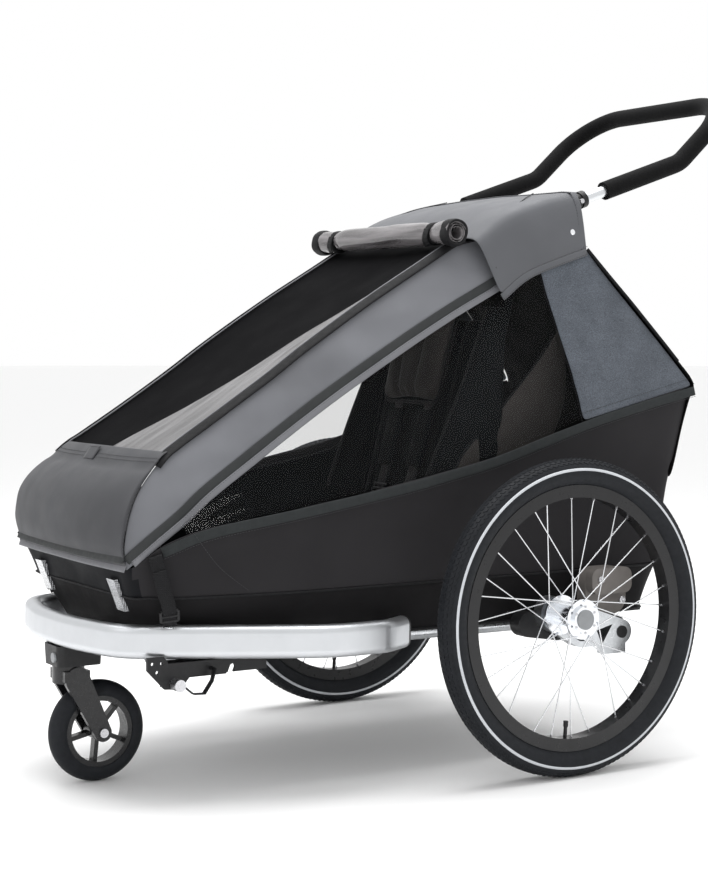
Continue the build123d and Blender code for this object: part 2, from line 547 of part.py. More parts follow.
def sleeve_point(distance):
    """Point on the handle axis, measured rearwards from the mouth of the sleeve."""
    return (SLEEVE_END_X - distance * math.cos(HANDLE_SLOPE), HANDLE_HALF,
            SLEEVE_END_Z + distance * math.sin(HANDLE_SLOPE))


def make_handle():
    bend = sleeve_point(HANDLE_BEND)
    corner = (bend[0] - GRIP_RISE * math.cos(GRIP_SLOPE), HANDLE_HALF, bend[2] + GRIP_RISE * math.sin(GRIP_SLOPE))
    radii = [60, CROSSBAR_RADIUS, CROSSBAR_RADIUS, 60]

    def route(start):
        left = [sleeve_point(start), bend, corner]
        return left + [(x, -y, z) for x, y, z in reversed(left)]

    bar = pipe(route(-HANDLE_INSIDE), radii, HANDLE_TUBE_R, wall=1.5)
    pin_x, _, pin_z = sleeve_point(-16)
    forward = (math.cos(HANDLE_SLOPE), -math.sin(HANDLE_SLOPE))
    middle = Pos(pin_x + forward[0] * HANDLE_TRAVEL / 2, pin_z + forward[1] * HANDLE_TRAVEL / 2)
    slot = middle * SlotCenterToCenter(HANDLE_TRAVEL, 2 * (SNAP_R + 0.2), rotation=-math.degrees(HANDLE_SLOPE))
    slot = y_prism(slot, HANDLE_HALF, HANDLE_HALF + 20)
    keep("handle_bar", bar - slot - flip(slot))
    grip = pipe(route(GRIP_GAP), radii, GRIP_R, wall=GRIP_R - HANDLE_TUBE_R - 0.2)
    keep("handle_grip", grip)

    sleeve = rod(sleeve_point(-SLEEVE_LENGTH), sleeve_point(0), SLEEVE_R)
    mouth = rod(sleeve_point(-10), sleeve_point(0), SLEEVE_R + 2)
    bore = rod(sleeve_point(-SLEEVE_LENGTH - 5), sleeve_point(5), HANDLE_TUBE_R + RUN_FIT)
    lug = block(-78, -14, BACK_HALF + BACK_EYE_HALF + 1, HANDLE_HALF + SLEEVE_R, 834, 884)
    rail_room = rod((145, RAIL_HALF, 747), (-66.3, RAIL_HALF, 858.1), RAIL_R + 0.1)
    hinge_room = y_cylinder(BACK_PIVOT_X, BACK_PIVOT_Z, 100, RAIL_HALF, HINGE_PIN_R + RUN_FIT)
    snap_room = y_cylinder(pin_x, pin_z, HANDLE_HALF, HANDLE_HALF + 30, SNAP_R + RUN_FIT)
    keep_sleeve = sleeve + mouth + lug - bore - rail_room - hinge_room - snap_room
    keep("handle_sleeves", keep_sleeve, flip(keep_sleeve))
    snap = y_cylinder(pin_x, pin_z, HANDLE_HALF + HANDLE_TUBE_R - 1.2, HANDLE_HALF + SLEEVE_R + SNAP_TRAVEL + 1, SNAP_R)
    both("snap_left", "snap_right", snap)


def make_backrest():
    run_x, run_z = BACK_FOOT_X - BACK_PIVOT_X, BACK_FOOT_Z - BACK_PIVOT_Z
    length = math.hypot(run_x, run_z)
    along = (run_x / length, run_z / length)
    front = (-along[1], along[0])

    def place(s, n):
        return (BACK_PIVOT_X + s * along[0] + n * front[0], BACK_PIVOT_Z + s * along[1] + n * front[1])

    def slab(s0, s1, n0, n1, y0, y1):
        outline = Polyline(place(s0, n0), place(s1, n0), place(s1, n1), place(s0, n1), close=True)
        return y_prism(make_face(outline), y0, y1)

    leg = rod((BACK_PIVOT_X, BACK_HALF, BACK_PIVOT_Z), (BACK_FOOT_X, BACK_HALF, BACK_FOOT_Z), BACK_TUBE_R)
    eye = y_cylinder(BACK_PIVOT_X, BACK_PIVOT_Z, BACK_HALF - BACK_EYE_HALF, BACK_HALF + BACK_EYE_HALF,
                     BACK_TUBE_R + 2)
    leg = leg + eye - y_cylinder(BACK_PIVOT_X, BACK_PIVOT_Z, 100, 200, HINGE_PIN_R + RUN_FIT)
    bars = []
    for s in (150, 420):
        x, z = place(s, 0)
        bars.append(y_cylinder(x, z, -BACK_HALF, BACK_HALF, BACK_CROSS_R))
    keep("backrest_frame", leg + bars[0] + bars[1] + flip(leg))
    pin = y_cylinder(BACK_PIVOT_X, BACK_PIVOT_Z, BACK_HALF - 11, RAIL_HALF - RAIL_R - 0.5, HINGE_PIN_R)
    keep("backrest_pivot_pins", pin, flip(pin))

    pad_back, pad_front = BACK_TUBE_R + CLEAR, 32.0
    keep("backrest_pad", slab(130, 500, pad_back, pad_front, -132, 132))
    keep("headrest", fillet(slab(104, 286, pad_front + CLEAR, pad_front + 34, -92, 92).edges(), 12))
    straps = [slab(300, 470, pad_front + CLEAR, pad_front + 3, y - 16, y + 16) for y in (-45, 45)]
    keep("harness_straps", *straps)
    wing = slab(150, 480, pad_front + CLEAR, pad_front + 42, 112, 128)
    keep("side_wings", wing, flip(wing))


def make_seat():
    floor = FLOOR_Z + FLOOR_THICK
    seat = block(120, 430, -134, 134, floor + CLEAR, floor + 60)
    keep("seat_pad", fillet(seat.edges().group_by(Axis.Z)[-1], 14))
    keep("harness_buckle", block(236, 286, -22, 22, floor + 60 + CLEAR, floor + 76))
    face = BACK_FOOT_X - BACK_TUBE_R - 4
    latch = block(face - 14, face, BACK_HALF - 12, BACK_HALF + 12, floor, BACK_FOOT_Z + 6)
    keep("latch_brackets", latch, flip(latch))


make_floor()
make_bumper()
make_wheels()
make_suspension()
make_caster()
make_tub()
make_canopy()
make_side_fabric()
make_front_trim()
make_receiver()
make_roof_frame()
make_handle()
make_backrest()
make_seat()

for name, shapes in nodes.items():
    moved = [Pos(ORIGIN_SHIFT, 0, 0) * shape for shape in shapes]
    export_step(moved[0] if len(moved) == 1 else Compound(children=moved), f"parts/{name}.step")
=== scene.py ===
import bpy
import bmesh
import math
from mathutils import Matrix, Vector, noise


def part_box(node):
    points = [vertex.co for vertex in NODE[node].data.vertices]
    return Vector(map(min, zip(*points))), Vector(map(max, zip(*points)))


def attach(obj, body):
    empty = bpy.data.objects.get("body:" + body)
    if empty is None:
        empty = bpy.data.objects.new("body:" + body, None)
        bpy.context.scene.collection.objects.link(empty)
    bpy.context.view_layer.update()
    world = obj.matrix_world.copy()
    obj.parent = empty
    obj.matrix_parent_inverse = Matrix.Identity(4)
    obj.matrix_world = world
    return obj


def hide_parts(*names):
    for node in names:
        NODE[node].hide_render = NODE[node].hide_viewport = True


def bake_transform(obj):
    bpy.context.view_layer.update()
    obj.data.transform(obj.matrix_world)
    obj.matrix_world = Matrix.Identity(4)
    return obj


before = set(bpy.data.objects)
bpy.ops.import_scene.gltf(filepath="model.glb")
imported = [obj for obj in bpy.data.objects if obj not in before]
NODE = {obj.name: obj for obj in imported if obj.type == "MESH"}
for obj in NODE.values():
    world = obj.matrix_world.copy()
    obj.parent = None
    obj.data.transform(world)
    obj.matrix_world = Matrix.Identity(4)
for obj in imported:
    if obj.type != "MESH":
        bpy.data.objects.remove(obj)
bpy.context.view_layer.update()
tyre_low, tyre_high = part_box("tyre_left")
AXLE_X = (tyre_low.x + tyre_high.x) / 2
scene = bpy.context.scene
SIDES = (("left", 1), ("right", -1))


def P(x, y, z):
    """Point given in millimetres from the ground under the rear axle, in the row frame in metres."""
    return Vector((AXLE_X + x / 1000, y / 1000, z / 1000))


# ---------------------------------------------------------------- materials
def material(name, color, rough, metal=0.0, vary=0.12, vary_scale=60.0, bumps=(), sheen=0.0, coat=0.0,
             alpha=1.0, spec=0.5, rough_vary=0.08, streak=None):
    """Procedural material: broken colour and roughness, and bumps given as (kind, scale, height in mm)."""
    mat = bpy.data.materials.new(name)
    mat.use_nodes = True
    nt = mat.node_tree
    bsdf = nt.nodes["Principled BSDF"]
    coord = nt.nodes.new("ShaderNodeTexCoord").outputs["Object"]

    def scaled(scale):
        node = nt.nodes.new("ShaderNodeMapping")
        node.inputs["Scale"].default_value = scale if hasattr(scale, "__len__") else (scale,) * 3
        nt.links.new(coord, node.inputs["Vector"])
        return node.outputs["Vector"]

    def noisy(scale, detail=3.0):
        node = nt.nodes.new("ShaderNodeTexNoise")
        node.inputs["Scale"].default_value = 1.0
        node.inputs["Detail"].default_value = detail
        nt.links.new(scaled(scale), node.inputs["Vector"])
        return node.outputs["Fac"]

    def ramp(value, low, high):
        node = nt.nodes.new("ShaderNodeMapRange")
        node.inputs["From Min"].default_value = 0.3
        node.inputs["From Max"].default_value = 0.7
        node.inputs["To Min"].default_value = low
        node.inputs["To Max"].default_value = high
        nt.links.new(value, node.inputs["Value"])
        return node.outputs["Result"]

    def tint(value, dark, light):
        node = nt.nodes.new("ShaderNodeMix")
        node.data_type = "RGBA"
        node.inputs["A"].default_value = (*dark, 1)
        node.inputs["B"].default_value = (*light, 1)
        nt.links.new(ramp(value, 0.0, 1.0), node.inputs["Factor"])
        return node.outputs["Result"]

    def added(first, second):
        node = nt.nodes.new("ShaderNodeMath")
        node.operation = "ADD"
        nt.links.new(first, node.inputs[0])
        nt.links.new(second, node.inputs[1])
        return node.outputs[0]

    dark = [c * (1 - vary) for c in color]
    light = [min(1.0, c * (1 + vary)) for c in color]
    tone = tint(noisy(vary_scale), dark, light)
    if streak:
        amount, along, across = streak
        total = added(noisy((along, along, across), 2.0), noisy((across, across, along), 2.0))
        half = nt.nodes.new("ShaderNodeMath")
        half.operation = "MULTIPLY"
        half.inputs[1].default_value = 0.5
        nt.links.new(total, half.inputs[0])
        lift = nt.nodes.new("ShaderNodeMapRange")
        lift.inputs["From Min"].default_value = 0.42
        lift.inputs["From Max"].default_value = 0.58
        lift.inputs["To Min"].default_value = 1 - amount
        lift.inputs["To Max"].default_value = 1 + amount
        nt.links.new(half.outputs[0], lift.inputs["Value"])
        mix = nt.nodes.new("ShaderNodeVectorMath")
        mix.operation = "SCALE"
        nt.links.new(tone, mix.inputs[0])
        nt.links.new(lift.outputs["Result"], mix.inputs["Scale"])
        tone = mix.outputs[0]
    nt.links.new(tone, bsdf.inputs["Base Color"])
    gloss_scale = vary_scale if hasattr(vary_scale, "__len__") else vary_scale * 2.3
    gloss = ramp(noisy(gloss_scale), max(0.02, rough - rough_vary), min(1.0, rough + rough_vary))
    nt.links.new(gloss, bsdf.inputs["Roughness"])
    for socket, amount in (("Metallic", metal), ("Specular IOR Level", spec), ("Sheen Weight", sheen),
                           ("Coat Weight", coat), ("Alpha", alpha)):
        bsdf.inputs[socket].default_value = amount
    normal = None
    for kind, scale, height in bumps:
        if kind == "weave":
            waves = []
            for axis in ("X", "Y", "Z"):
                wave = nt.nodes.new("ShaderNodeTexWave")
                wave.bands_direction = axis
                wave.inputs["Scale"].default_value = scale
                nt.links.new(coord, wave.inputs["Vector"])
                waves.append(wave.outputs["Fac"])
            value = waves[0]
            for other in waves[1:]:
                value = added(value, other)
        else:
            value = noisy(scale, 1.5 if hasattr(scale, "__len__") else 4.0)
        bump = nt.nodes.new("ShaderNodeBump")
        bump.inputs["Distance"].default_value = height / 1000
        bump.inputs["Strength"].default_value = 1.0
        nt.links.new(value, bump.inputs["Height"])
        if normal:
            nt.links.new(normal, bump.inputs["Normal"])
        normal = bump.outputs["Normal"]
    if normal:
        nt.links.new(normal, bsdf.inputs["Normal"])
    return mat


WEAVE = ("weave", 210.0, 0.035)
FINE = ("weave", 330.0, 0.02)
FOLDS = ("noise", (7, 8, 6), 3.0)
M = {
    "nylon": material("nylon_grey", (0.094, 0.097, 0.106), 0.58, spec=0.25, vary=0.07, vary_scale=9,
                      sheen=0.08,
                      bumps=[FOLDS, FINE]),
    "nose": material("nylon_nose", (0.050, 0.051, 0.056), 0.6, spec=0.2, vary=0.10, vary_scale=9,
                     sheen=0.06,
                     bumps=[FOLDS, FINE]),
    "cover": material("nylon_cover", (0.150, 0.154, 0.168), 0.5, spec=0.3, vary=0.16, vary_scale=7,
                      sheen=0.1,
                      bumps=[("noise", (7, 12, 9), 5.0), FINE]),
    "edge": material("edge_tape_light", (0.15, 0.152, 0.165), 0.55, vary=0.05,
                     bumps=[("weave", 260.0, 0.03)]),
    "tape": material("edge_tape_dark", (0.034, 0.036, 0.037), 0.62, spec=0.2, vary=0.06,
                     bumps=[("weave", 120.0, 0.08)]),
    "tub": material("tub_cloth", (0.0215, 0.0205, 0.0222), 0.72, spec=0.12, vary=0.10, vary_scale=5,
                    sheen=0.0,
                    bumps=[("noise", (5, 9, 9), 5.0), WEAVE]),
    "tub_low": material("tub_cloth_low", (0.0100, 0.0095, 0.0102), 0.7, spec=0.1, vary=0.12, vary_scale=8,
                        bumps=[("noise", 11.0, 2.5), WEAVE]),
    # tub cloth for the forward-facing faces at the front end, darker than the sides as painted shade
    "front": material("tub_cloth_painted_front_shade", (0.0058, 0.0062, 0.0078), 0.66, spec=0.1, vary=0.1, vary_scale=8,
                      bumps=[("noise", 8.0, 3.0), WEAVE]),
    "binding": material("binding_black", (0.010, 0.010, 0.011), 0.6, spec=0.15, vary=0.1,
                        bumps=[("weave", 160.0, 0.15)]),
    "belt": material("belt_tape", (0.026, 0.029, 0.030), 0.66, spec=0.15, vary=0.07,
                     bumps=[("weave", 150.0, 0.2)]),
    "webbing": material("webbing", (0.0085, 0.0085, 0.0095), 0.55, spec=0.15, vary=0.15, vary_scale=90,
                        bumps=[("weave", 100.0, 0.3)]),
    "melange": material("melange_weave", (0.088, 0.099, 0.117), 0.82, spec=0.2, vary=0.12, vary_scale=25,
                        sheen=0.06,
                        bumps=[("weave", 170.0, 0.25), ("noise", 14.0, 1.5)], streak=(0.38, 420, 2000)),
    "mesh": material("insect_mesh", (0.0045, 0.0045, 0.005), 0.85, vary=0.1, vary_scale=6, spec=0.03,
                     bumps=[("noise", (6, 10, 6), 4.0), ("weave", 240.0, 0.05)], alpha=0.985),
    "voile": material("folded_net", (0.19, 0.187, 0.19), 0.6, vary=0.45, vary_scale=(5, 60, 5), sheen=0.1,
                      bumps=[("noise", (10, 22, 10), 5.0), ("weave", 200.0, 0.2)], alpha=0.72),
    "film": material("clear_film", (0.02, 0.022, 0.024), 0.06, vary=0.05, rough_vary=0.03,
                     bumps=[("noise", (9, 9, 14), 2.5)], alpha=0.07, spec=0.5),
    "roll": material("rolled_film", (0.17, 0.16, 0.165), 0.12, vary=0.55, vary_scale=(90, 7, 90),
                     rough_vary=0.06,
                     bumps=[("noise", (30, 5, 30), 4.0)], alpha=0.8, coat=0.6),
    "seat": material("seat_cloth", (0.050, 0.045, 0.042), 0.8, spec=0.15, vary=0.12, vary_scale=20,
                     sheen=0.08,
                     bumps=[WEAVE, ("noise", 25.0, 1.0)]),
    "seat_low": material("seat_cloth_black", (0.0055, 0.006, 0.0068), 0.75, spec=0.08, vary=0.15,
                         vary_scale=12,
                         bumps=[WEAVE, ("noise", 14.0, 2.0)]),
    "alloy": material("satin_alloy", (0.60, 0.615, 0.635), 0.38, metal=1.0, vary=0.02, vary_scale=30,
                      rough_vary=0.03, bumps=[("noise", 900.0, 0.002)]),
    "tube": material("tube_alloy", (0.70, 0.72, 0.74), 0.3, metal=1.0, vary=0.03, rough_vary=0.05,
                     bumps=[("noise", (60, 60, 1400), 0.01)]),
    "cast": material("cast_alloy", (0.62, 0.64, 0.66), 0.33, metal=1.0, vary=0.06, vary_scale=110,
                     bumps=[("noise", 400.0, 0.08)]),
    "polished": material("polished_alloy", (0.82, 0.84, 0.87), 0.16, metal=1.0, vary=0.03, rough_vary=0.04,
                         bumps=[("noise", 700.0, 0.01)]),
    "steel": material("zinc_steel", (0.58, 0.58, 0.60), 0.28, metal=1.0, vary=0.06, vary_scale=150,
                      bumps=[("noise", 600.0, 0.02)]),
    "spoke": material("spoke_steel", (0.78, 0.79, 0.81), 0.22, metal=1.0, vary=0.03, rough_vary=0.04,
                      bumps=[("noise", 500.0, 0.01)]),
    "plastic": material("moulded_black", (0.012, 0.012, 0.013), 0.42, spec=0.3, vary=0.15, vary_scale=120,
                        bumps=[("noise", 900.0, 0.05)]),
    "satin_black": material("satin_black", (0.011, 0.011, 0.012), 0.3, spec=0.35, vary=0.12, vary_scale=60,
                            coat=0.2,
                            bumps=[("noise", 700.0, 0.03)]),
    "housing": material("moulded_taupe", (0.15, 0.137, 0.128), 0.45, vary=0.06, vary_scale=80,
                        bumps=[("noise", 900.0, 0.05)]),
    "grey_button": material("moulded_grey", (0.24, 0.25, 0.26), 0.4, vary=0.05,
                            bumps=[("noise", 900.0, 0.04)]),
    "rim": material("rim_black", (0.012, 0.012, 0.013), 0.33, spec=0.3, vary=0.1, vary_scale=40, coat=0.15,
                    bumps=[("noise", 300.0, 0.02)]),
    "tyre": material("tyre_rubber", (0.0105, 0.0118, 0.0145), 0.62, spec=0.2, vary=0.15, vary_scale=70,
                     bumps=[("noise", 260.0, 0.12)]),
    "stripe": material("reflex_stripe", (0.55, 0.57, 0.6), 0.4, vary=0.05, bumps=[("weave", 300.0, 0.05)]),
    "foam": material("grip_foam", (0.0045, 0.0045, 0.0048), 0.86, spec=0.1, vary=0.2, vary_scale=200,
                     sheen=0.03,
                     bumps=[("noise", 1500.0, 0.18)]),
    "lens": material("reflector_lens", (0.60, 0.61, 0.63), 0.12, metal=0.55, vary=0.3, vary_scale=260,
                     coat=1.0, bumps=[("weave", 95.0, 0.7)]),
    "thread": material("thread", (0.035, 0.035, 0.038), 0.8, vary=0.2, vary_scale=300,
                       bumps=[("noise", 900.0, 0.1)]),
    "snap": material("snap_stud", (0.86, 0.87, 0.9), 0.1, metal=1.0, vary=0.03, rough_vary=0.03,
                     bumps=[("noise", 300.0, 0.01)]),
}

CAD_LOOK = {
    "alloy": ["bumper_bar"],
    "tube": ["floor_tubes", "roof_rails", "backrest_frame", "handle_bar"],
    "cast": ["swing_arm_left", "swing_arm_right"],
    "polished": ["hub_left", "hub_right"],
    "steel": ["bumper_brackets", "nose_brackets", "nose_pivot_pins", "backrest_pivot_pins", "caster_axle",
              "stub_axle_left", "stub_axle_right", "hitch_pin", "snap_left", "snap_right"],
    "spoke": ["spokes_left", "spokes_right"],
    "plastic": ["floor_pan", "bumper_plugs", "suspension_mounts", "arm_pivot_pins", "latch_brackets",
                "harness_buckle", "handle_sleeves", "drawbar_receiver", "caster_block"],
    "satin_black": ["caster_fork", "caster_rim"],
    "housing": ["suspension_housings"],
    "grey_button": ["release_left", "release_right", "caster_button"],
    "rim": ["rim_left", "rim_right"],
    "tyre": ["tyre_left", "tyre_right", "caster_tyre"],
    "webbing": ["pin_strap"],
    "foam": ["handle_grip"],
    "lens": ["front_reflectors"],
}
for look, names in CAD_LOOK.items():
    for name in names:
        NODE[name].data.materials.clear()
        NODE[name].data.materials.append(M[look])


# ---------------------------------------------------------------- mesh helpers
def placed(name, data):
    """New object in the scene that holds this data."""
    obj = bpy.data.objects.new(name, data)
    scene.collection.objects.link(obj)
    return obj


def mesh_of(name, bm):
    """Mesh made from a bmesh, which is freed."""
    mesh = bpy.data.meshes.new(name)
    bm.to_mesh(mesh)
    bm.free()
    return mesh


def smooth_faces(mesh):
    for polygon in mesh.polygons:
        polygon.use_smooth = True


def add_mesh(name, verts, faces, look, body, smooth=True):
    mesh = bpy.data.meshes.new(name)
    mesh.from_pydata([tuple(v) for v in verts], [], faces)
    mesh.update()
    for polygon in mesh.polygons:
        polygon.use_smooth = smooth
    obj = placed(name, mesh)
    mesh.materials.append(M[look])
    if body:
        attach(obj, body)
    return obj


def bake(obj):
    """Apply every modifier."""
    graph = bpy.context.evaluated_depsgraph_get()
    mesh = bpy.data.meshes.new_from_object(obj.evaluated_get(graph))
    obj.modifiers.clear()
    obj.data = mesh


SPLINE_STEPS = 12


def smooth_line(points, count):
    """Points evenly spaced along a smooth line through the given ones."""
    points = [Vector(p) for p in points]
    ends = [points[0] * 2 - points[1]] + points + [points[-1] * 2 - points[-2]]
    dense = []
    for a, b, c, d in zip(ends, ends[1:], ends[2:], ends[3:]):
        for k in range(SPLINE_STEPS):
            t = k / SPLINE_STEPS
            dense.append(0.5 * (2 * b + (c - a) * t + (2 * a - 5 * b + 4 * c - d) * t * t
                                + (3 * b - a - 3 * c + d) * t ** 3))
    dense.append(points[-1])
    return even(dense, count)


def even(points, count):
    run = [0.0]
    for a, b in zip(points, points[1:]):
        run.append(run[-1] + (b - a).length)
    result, k = [], 0
    for i in range(count):
        target = run[-1] * i / (count - 1)
        while k < len(run) - 2 and run[k + 1] < target:
            k += 1
        span = run[k + 1] - run[k]
        result.append(points[k].lerp(points[k + 1], 0 if span == 0 else (target - run[k]) / span))
    return result


def flipped(points):
    return [Vector((p[0], -p[1], p[2])) for p in points]


GRIDS = {}


def net(name, rows, look, body, thick=1.4, closed=False, levels=1, offset=-1.0, skip=None):
    """Sheet through a grid of points, with a thickness and a subdivision."""
    GRIDS[name] = (rows, closed, skip)
    n = len(rows[0])
    verts = [p for row in rows for p in row]
    faces = []
    for i in range(len(rows) - 1):
        for j in range(n if closed else n - 1):
            a, b = i * n + j, i * n + (j + 1) % n
            if not (skip and skip((verts[a] + verts[b + n]) / 2)):
                faces.append((a, b, b + n, a + n))
    obj = add_mesh(name, verts, faces, look, body)
    if thick:
        mod = obj.modifiers.new("thick", "SOLIDIFY")
        mod.thickness = thick / 1000
        mod.offset = offset
    if levels:
        mod = obj.modifiers.new("smooth", "SUBSURF")
        mod.levels = levels
        mod.render_levels = levels
    bake(obj)
    return obj


def face_out(obj, centre):
    """Turn a sheet's faces away from a centre point."""
    total = sum((p.center - centre).dot(p.normal) for p in obj.data.polygons)
    if total < 0:
        obj.data.flip_normals()


def tube(name, points, radius, look, body, closed=False):
    curve = bpy.data.curves.new(name, "CURVE")
    curve.dimensions = "3D"
    curve.bevel_depth = radius / 1000
    curve.bevel_resolution = 3
    curve.use_fill_caps = True
    spline = curve.splines.new("POLY")
    spline.points.add(len(points) - 1)
    for point, place in zip(spline.points, points):
        point.co = (*place, 1)
    spline.use_cyclic_u = closed
    curve.materials.append(M[look])
    obj = placed(name, curve)
    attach(obj, body)
    return obj


def band(name, points, normals, width, thick, look, body, lift=0.0, shift=0.0):
    """Flat tape along a line. Normals point away from what it lies on; shift moves it across."""
    verts, faces = [], []
    profile = [(-0.5, 0.0), (-0.5, 0.6), (-0.44, 1.0), (-0.2, 1.08), (0.2, 1.08), (0.44, 1.0), (0.5, 0.6),
               (0.5, 0.0)]
    for i, place in enumerate(points):
        along = (points[min(i + 1, len(points) - 1)] - points[max(i - 1, 0)]).normalized()
        normal = Vector(normals[i] if isinstance(normals, list) else normals)
        across = normal.cross(along).normalized()
        normal = along.cross(across)
        for u, v in profile:
            rise = normal * ((v * thick + lift) / 1000)
            verts.append(place + across * ((u * width + shift) / 1000) + rise)
    n = len(profile)
    for i in range(len(points) - 1):
        for j in range(n):
            a, b = i * n + j, i * n + (j + 1) % n
            faces.append((a, b, b + n, a + n))
    faces.append(tuple(range(n))[::-1])
    faces.append(tuple(range(len(verts) - n, len(verts))))
    return add_mesh(name, verts, faces, look, body)


def stitches(name, points, normals, body, pitch=4.5, lift=0.5, shift=0.0, radius=0.45):
    """Row of separate stitches along a line."""
    run = sum((b - a).length for a, b in zip(points, points[1:]))
    count = max(2, int(run * 1000 / pitch))
    line = even(points, count * 2)
    given = normals if isinstance(normals, list) else [normals] * len(points)
    picked = [Vector(v) for v in given]
    verts, faces = [], []
    for i in range(0, len(line) - 1, 2):
        start, end = line[i], line[i].lerp(line[i + 1], 1.3)
        along = (end - start).normalized()
        normal = picked[min(len(picked) - 1, int(i / len(line) * len(picked)))]
        across = normal.cross(along).normalized()
        normal = along.cross(across)
        base = len(verts)
        for place, size in ((start, 0.4), (start.lerp(end, 0.25), 1.0), (start.lerp(end, 0.75), 1.0),
                            (end, 0.4)):
            for k in range(5):
                angle = 2 * math.pi * k / 5
                ring = across * math.cos(angle) + normal * math.sin(angle)
                verts.append(place + (ring * radius * size + across * shift + normal * lift) / 1000)
        for r in range(3):
            for k in range(5):
                a, b = base + r * 5 + k, base + r * 5 + (k + 1) % 5
                faces.append((a, b, b + 5, a + 5))
        faces.append(tuple(base + k for k in range(5))[::-1])
        faces.append(tuple(base + 15 + k for k in range(5)))
    return add_mesh(name, verts, faces, "thread", body)


def ripple(obj, amount, scale, seed=0.0):
    """Push points along their normals by smooth noise."""
    mesh = obj.data
    normals = [v.normal.copy() for v in mesh.vertices]
    for vertex, normal in zip(mesh.vertices, normals):
        p = vertex.co
        value = noise.noise(Vector((p.x * scale[0] + seed, p.y * scale[1], p.z * scale[2])))
        vertex.co = p + normal * value * amount / 1000
    mesh.update()


def hill(x, centre, width):
    """Smooth bump of height 1 round a centre."""
    return math.exp(-((x - centre) / width) ** 2)


# ---------------------------------------------------------------- outlines, in millimetres
BELT = [(-328, 264, 607), (-212, 264, 582), (-93, 264, 553), (76, 264, 503), (172, 264, 482),
        (265, 264, 464),
        (441, 260, 435), (582, 241, 411), (653, 220, 384), (694, 207, 354)]
BOTTOM = [(-257, 222), (-180, 222), (-80, 222), (76, 222), (172, 220), (265, 216), (441, 205), (570, 178),
          (622, 158), (645, 128)]
BOTTOM_Z = 228
SEAM_Z = 308
SEAM_HALF = [250, 250, 250, 250, 250, 250, 246, 226, 212, 196]
COVER_LOW = [(692, 208, 355.5), (653, 212, 388), (605, 208, 420), (564, 205, 452), (496, 205, 498),
             (409, 205, 556), (338, 205, 601), (227, 205, 667), (132, 205, 720), (62, 209, 757),
             (48, 211, 765), (14, 213, 784)]
COVER_HIGH = [(703, 204, 392), (682, 197, 456), (636, 184, 508), (604, 178, 530), (540, 176, 570),
              (450, 176, 628), (380, 176, 676), (268, 176, 747), (172, 176, 803), (104, 177, 842),
              (80, 184, 848), (38, 190, 866)]
NOSE = [(700, 705, 205.5, 353), (703, 712, 204, 392), (682, 694, 197, 456), (636, 648, 184, 508),
        (622, 638, 181, 519)]
HOOD = [(48, 90, 758, 846, 852), (0, 20, 792, 891, 901), (-60, -50, 815, 915, 922),
        (-126, -114, 836, 929, 933)]
INSIDE = P(150, 0, 500)
NOSE_INSIDE = P(560, 0, 380)


def tub_point(i, level):
    """Outside of the tub at belt point i: level 0 at the belt, 1 at the seam, 2 at the floor."""
    (xb, yb, zb), (xl, yl) = BELT[i], BOTTOM[i]
    share = (zb - SEAM_Z) / (zb - BOTTOM_Z)
    seam = (xb + (xl - xb) * share, SEAM_HALF[i], SEAM_Z)
    if level <= 1:
        return tuple(a + (b - a) * level for a, b in zip((xb, yb, zb), seam))
    return tuple(a + (b - a) * (level - 1) for a, b in zip(seam, (xl, yl, BOTTOM_Z)))


def tub_ring(level, count=132):
    """Closed line round the tub at one level."""
    side = [tub_point(i, level) for i in range(len(BELT))]
    rear, front = side[0], side[-1]
    left = [P(rear[0] - 2, 0, rear[2]), P(rear[0] - 1, rear[1] * 0.5, rear[2]),
            P(rear[0] + 1, rear[1] * 0.86, rear[2]),
            P(rear[0] + 8, rear[1] * 0.985, rear[2])]
    left += [P(*p) for p in side[1:-1]]
    left += [P(front[0] - 9, front[1] + 4, front[2] + 2), P(front[0] + 3, front[1] - 7, front[2]),
             P(front[0] + 6, front[1] * 0.8, front[2]), P(front[0] + 7, front[1] * 0.4, front[2]),
             P(front[0] + 7.5, 0, front[2])]
    half = smooth_line(left, count // 2 + 1)
    return half + flipped(half[1:-1][::-1])


# ---------------------------------------------------------------- tub
def sag(u, v):
    """Slack of the side cloth, in millimetres, along the length (u) and down (v)."""
    fold = 5.5 * hill(v - 0.15, 0.9 * (0.62 - u), 0.07) * hill(u, 0.42, 0.22)
    second = 3.0 * hill(v - 0.45, 0.8 * (0.45 - u), 0.08) * hill(u, 0.33, 0.16)
    return -4.0 * math.sin(math.pi * v) - fold - second


def tub_rows(start, end, count, slack):
    rings = []
    for k in range(count):
        v = k / (count - 1)
        ring = tub_ring(start + (end - start) * v)
        centre = Vector((INSIDE.x, 0, ring[0].z))
        total = len(ring)
        moved = []
        for j, p in enumerate(ring):
            u = abs(1 - 2 * j / total)
            outward = Vector((0, 1 if p.y > 0 else -1, 0)) if 0.12 < u < 0.9 else (p - centre).normalized()
            moved.append(p + outward * (slack(1 - u, v) / 1000))
        rings.append(moved)
    return rings


REAR_SEAM_Z = 463
REAR_FOLD = (P(-200, 0, REAR_SEAM_Z), P(-200, 0, 700))
PANEL_FOLD = (P(-150, 0, 590), P(-150, 0, 780))
FILM_FOLD = (P(100, 0, 560), P(100, 0, 700))


def rear_opening(p):
    """Whether a point is where the folding rear cloth closes the tub."""
    return p.x < P(-285, 0, 0).x and abs(p.y) < 0.246 and p.z > REAR_SEAM_Z / 1000


